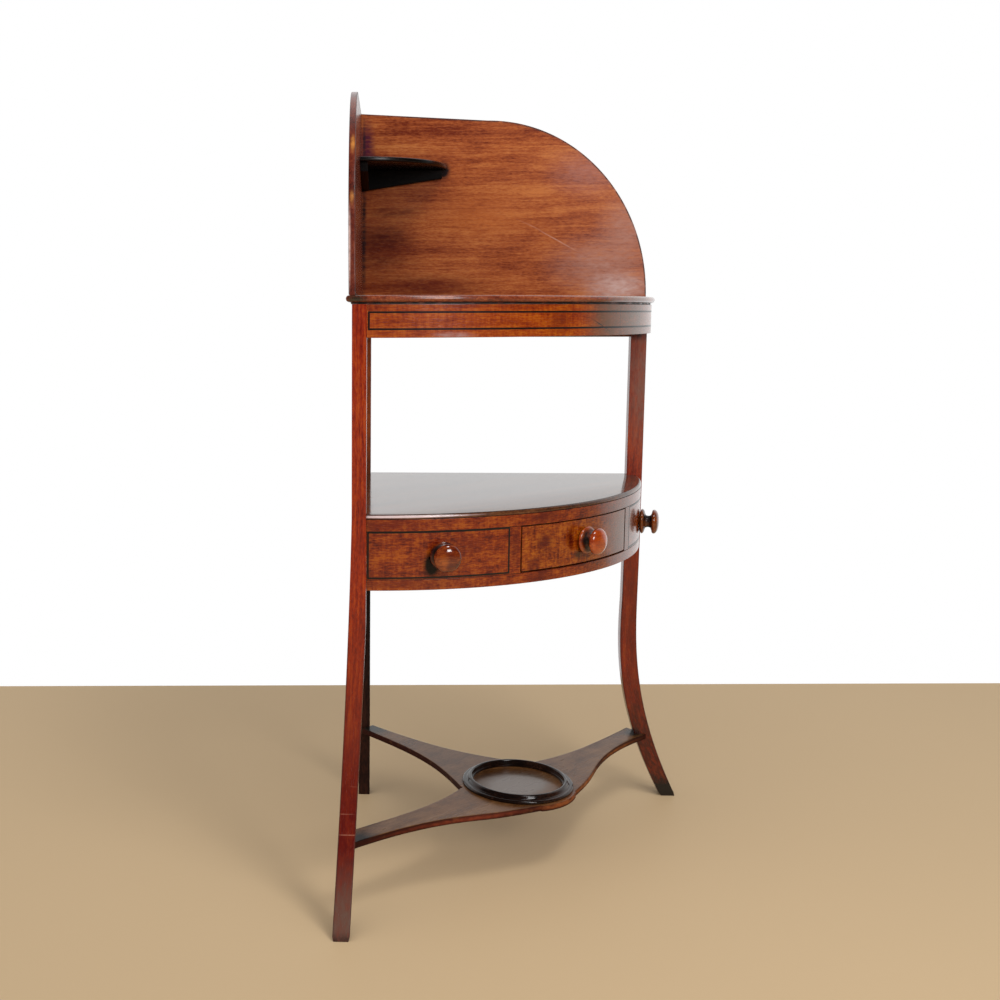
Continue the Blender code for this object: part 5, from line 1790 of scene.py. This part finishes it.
    def build(self) -> None:
        """Make and dress the platform and the ring moulding."""
        platform = self.platform()
        self.settle(platform)
        self.dress(platform, "stretcher", "stretcher_platform", Slot.DARK)
        ring = Skin("stretcher_ring_moulded")
        profile = smooth_curve(np.array(self.ring_profile), 2)
        index = revolve(ring, profile, self.ring_sides)
        ring.bridge(index[-1], index[0])
        self.settle(ring)
        self.dress(ring, "ring", "stretcher_ring", Slot.DARK)


@dataclass
class HiddenWork(Assembly):
    """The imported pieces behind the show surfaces, dressed where they are."""

    finishes: dict[str, tuple[str, ...]] = field(default_factory=lambda: {
        "rail_left": ("left_rear_top_rail",),
        "rail_right": ("right_rear_top_rail",),
        "pine_left": ("left_case_side",),
        "pine_right": ("right_case_side",),
        "pine_forward": ("left_runner", "right_runner", "left_guide", "right_guide", "left_kicker",
                         "right_kicker"),
        "pine_across": ("left_glue_block", "middle_glue_block", "right_glue_block"),
        "oak_forward": ("drawer_left_side", "drawer_right_side"),
        "oak_across": ("drawer_back", "drawer_bottom", "left_drawer_stop", "right_drawer_stop"),
        "steel": ("left_board_screw_1", "left_board_screw_2", "right_board_screw_1",
                  "right_board_screw_2"),
    })

    def build(self) -> None:
        """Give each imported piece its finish."""
        for finish, nodes in self.finishes.items():
            for node in nodes:
                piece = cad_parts[node]
                piece.data.materials.clear()
                piece.data.materials.append(self.palette[finish])
                LOG.info("%s: dressed as %s", node, finish)


@dataclass
class Studio:
    """A pale floor, a white surround, soft lamps and the photograph's camera.

    Attributes:
        focal: In pixels of an image as wide as image_width.
        camera_left: The camera's place along the left wall.
        camera_right: The camera's place along the right wall.
        dark_side: What gloss sees away from the wall.
        bright_side: What gloss sees on the wall's side.
        lamps: Each lamp's name, place, side and watts.
    """

    yaw: float = -3.36327
    pitch: float = 8.37312
    roll: float = -0.17289
    focal: float = 1272.056
    shift: float = 0.186
    sensor: float = 36.0
    image_width: float = 1000.0
    camera_left: float = 2.08088
    camera_right: float = 0.04684
    camera_height: float = 0.80787
    wall_distance: float = 2.70
    floor_near: float = -6.0
    floor_half: float = 7.0
    floor_colour: Colour = (0.63, 0.455, 0.265)
    floor_tone: float = 0.05
    floor_gloss: float = 0.6
    floor_specular: float = 0.25
    gloss_ramp: tuple[float, float] = (-0.10, 0.60)
    fill_ramp: tuple[float, float] = (-0.35, 0.85)
    dark_side: float = 0.03
    bright_side: float = 1.0
    fill_from: tuple[float, float, float] = (-0.866, -0.5, 0.0)
    front_fill: float = 1.45
    back_fill: float = 0.20
    aim: tuple[float, float, float] = (0.0, 0.0, 0.6)
    lamps: tuple = (("ceiling", (-0.28, -1.31, 2.8), 0.6, 14.0), ("window", (-0.76, -2.40, 1.47), 0.65, 18.0))

    def camera(self) -> None:
        """Place the camera as solved from the photograph, looking along its yaw and pitch."""
        data = bpy.data.cameras.new("photo_camera")
        data.sensor_width = self.sensor
        data.lens = self.focal / self.image_width * self.sensor
        data.shift_x = self.shift
        place = CORNER.place(self.camera_left, self.camera_right, self.camera_height)
        yaw, pitch, roll = (math.radians(angle) for angle in (self.yaw, self.pitch, self.roll))
        ahead = math.cos(pitch)
        forward = np.array([-math.cos(yaw) * ahead, math.sin(yaw) * ahead, -math.sin(pitch)])
        level = np.array([math.sin(yaw), math.cos(yaw), 0.0])
        up = np.cross(level, forward)
        right = math.cos(roll) * level + math.sin(roll) * up
        up = -math.sin(roll) * level + math.cos(roll) * up
        to_row = np.array([[-1.0, 1.0, 0.0], [-1.0, -1.0, 0.0], [0.0, 0.0, ROOT2]]) / ROOT2
        turn = Matrix(np.stack([to_row @ right, to_row @ up, to_row @ -forward], axis=1).tolist())
        camera = bpy.data.objects.new("photo_camera", data)
        camera.matrix_world = Matrix.Translation(place.tolist()) @ turn.to_4x4()
        bpy.context.scene.collection.objects.link(camera)
        bpy.context.scene.camera = camera

    def floor(self) -> None:
        """A wide pale floor that ends where the photograph's wall begins."""
        place = CORNER.place(self.camera_left, self.camera_right, 0.0)
        camera = bpy.context.scene.camera.matrix_world
        view = np.array(camera.col[2][:3]) * (-1.0, -1.0, 0.0)
        view = view / np.linalg.norm(view)
        across = np.array([-view[1], view[0], 0.0])
        far, near, half = self.wall_distance, self.floor_near, self.floor_half
        corners = [place + view * depth + across * wide
                   for depth, wide in ((far, half), (far, -half), (near, -half), (near, half))]
        mesh = bpy.data.meshes.new("floor")
        mesh.from_pydata([tuple(c) for c in corners], [], [(0, 1, 2, 3)])
        floor = bpy.data.objects.new("floor", mesh)
        bpy.context.scene.collection.objects.link(floor)
        material = bpy.data.materials.new("pale_floor")
        book = Book(material)
        spot = book.node("TexCoord", None, "Object")
        tone = book.noise(spot, FLOOR_TONES, 4.0)
        dim, pale = [tuple(c * level for c in self.floor_colour)
                     for level in (1.0 - self.floor_tone, 1.0 + self.floor_tone)]
        colour = book.blend(tone, dim, pale)
        shader = book.node("BsdfPrincipled", None, 0, Base__Color=colour, Roughness=self.floor_gloss,
                           Specular__IOR__Level=self.floor_specular)
        book.node("OutputMaterial", None, 0, Surface=shader)
        mesh.materials.append(material)

    def surround(self) -> None:
        """White to the camera; to gloss, white on the wall's side of the stand and dark on the other."""
        world = bpy.context.scene.world or bpy.data.worlds.new("surround")
        bpy.context.scene.world = world
        book = Book(world)
        direction = book.node("TexCoord", None, "Generated")
        toward = book.node("VectorMath", {"operation": "DOT_PRODUCT"}, "Value", Vector=direction,
                           Vector_001=(1.0 / ROOT2, 1.0 / ROOT2, 0.0))
        behind = book.node("VectorMath", {"operation": "DOT_PRODUCT"}, "Value", Vector=direction,
                           Vector_001=self.fill_from)
        level = self.dark_side + book.ramp(toward, *self.gloss_ramp) * (self.bright_side - self.dark_side)
        fill = self.back_fill + book.ramp(behind, *self.fill_ramp) * (self.front_fill - self.back_fill)
        gloss = book.node("LightPath", None, "Is Glossy Ray")
        through = book.node("LightPath", None, "Is Transmission Ray")
        seen = book.node("LightPath", None, "Is Camera Ray")
        shiny = gloss.maths("MAXIMUM", gloss, through)
        soft = fill * (1.0 - shiny) + level * shiny
        strength = seen + soft * (1.0 - seen)
        background = book.node("Background", None, 0, Color=(1.0, 1.0, 1.0, 1.0), Strength=strength)
        book.node("OutputWorld", None, 0, Surface=background)

    def lamp(self, name: str, place: Sequence[float], size: float, power: float) -> None:
        """One soft square lamp that faces the aim.

        Args:
            name: Its name.
            place: Where it hangs.
            size: Its side.
            power: Its power in watts.
        """
        data = bpy.data.lights.new(name, "AREA")
        data.size = size
        data.energy = power
        lamp = bpy.data.objects.new(name, data)
        lamp.location = place
        lamp.rotation_euler = (Vector(self.aim) - Vector(place)).to_track_quat("-Z", "Y").to_euler()
        bpy.context.scene.collection.objects.link(lamp)

    def build(self) -> None:
        """Set the stage."""
        self.camera()
        self.floor()
        self.surround()
        for lamp in self.lamps:
            self.lamp(*lamp)
        bpy.context.scene.view_settings.view_transform = "Standard"


def finishes() -> dict[str, bpy.types.Material]:
    """Build every finish once.

    Returns:
        The materials by the name that the sub-assemblies use.
    """
    palette = Palette()
    made = {item.name: getattr(palette, item.name).build() for item in fields(palette)
            if item.name not in ("rail", "oak", "pine")}
    turned = {"rail_left": (palette.rail, Grain.LEFT_WALL), "rail_right": (palette.rail, Grain.RIGHT_WALL),
              "pine_left": (palette.pine, Grain.LEFT_WALL), "pine_right": (palette.pine, Grain.RIGHT_WALL),
              "pine_forward": (palette.pine, Grain.FORWARD), "pine_across": (palette.pine, Grain.ACROSS),
              "oak_forward": (palette.oak, Grain.FORWARD), "oak_across": (palette.oak, Grain.ACROSS)}
    for name, (wood, grain) in turned.items():
        made[name] = replace(wood, name=name, grain=grain).build()
    return made


def main() -> None:
    """Build every sub-assembly in order, then the stage."""
    logging.basicConfig(level=logging.INFO, format="%(message)s")
    materials = finishes()
    for assembly in (Legs, Top, CornerShelf, Tier, DrawerBox, Knobs, Stretcher, HiddenWork):
        LOG.info("building %s", assembly.__name__)
        assembly(materials).build()
    Studio().build()


if __name__ == "__main__":
    main()
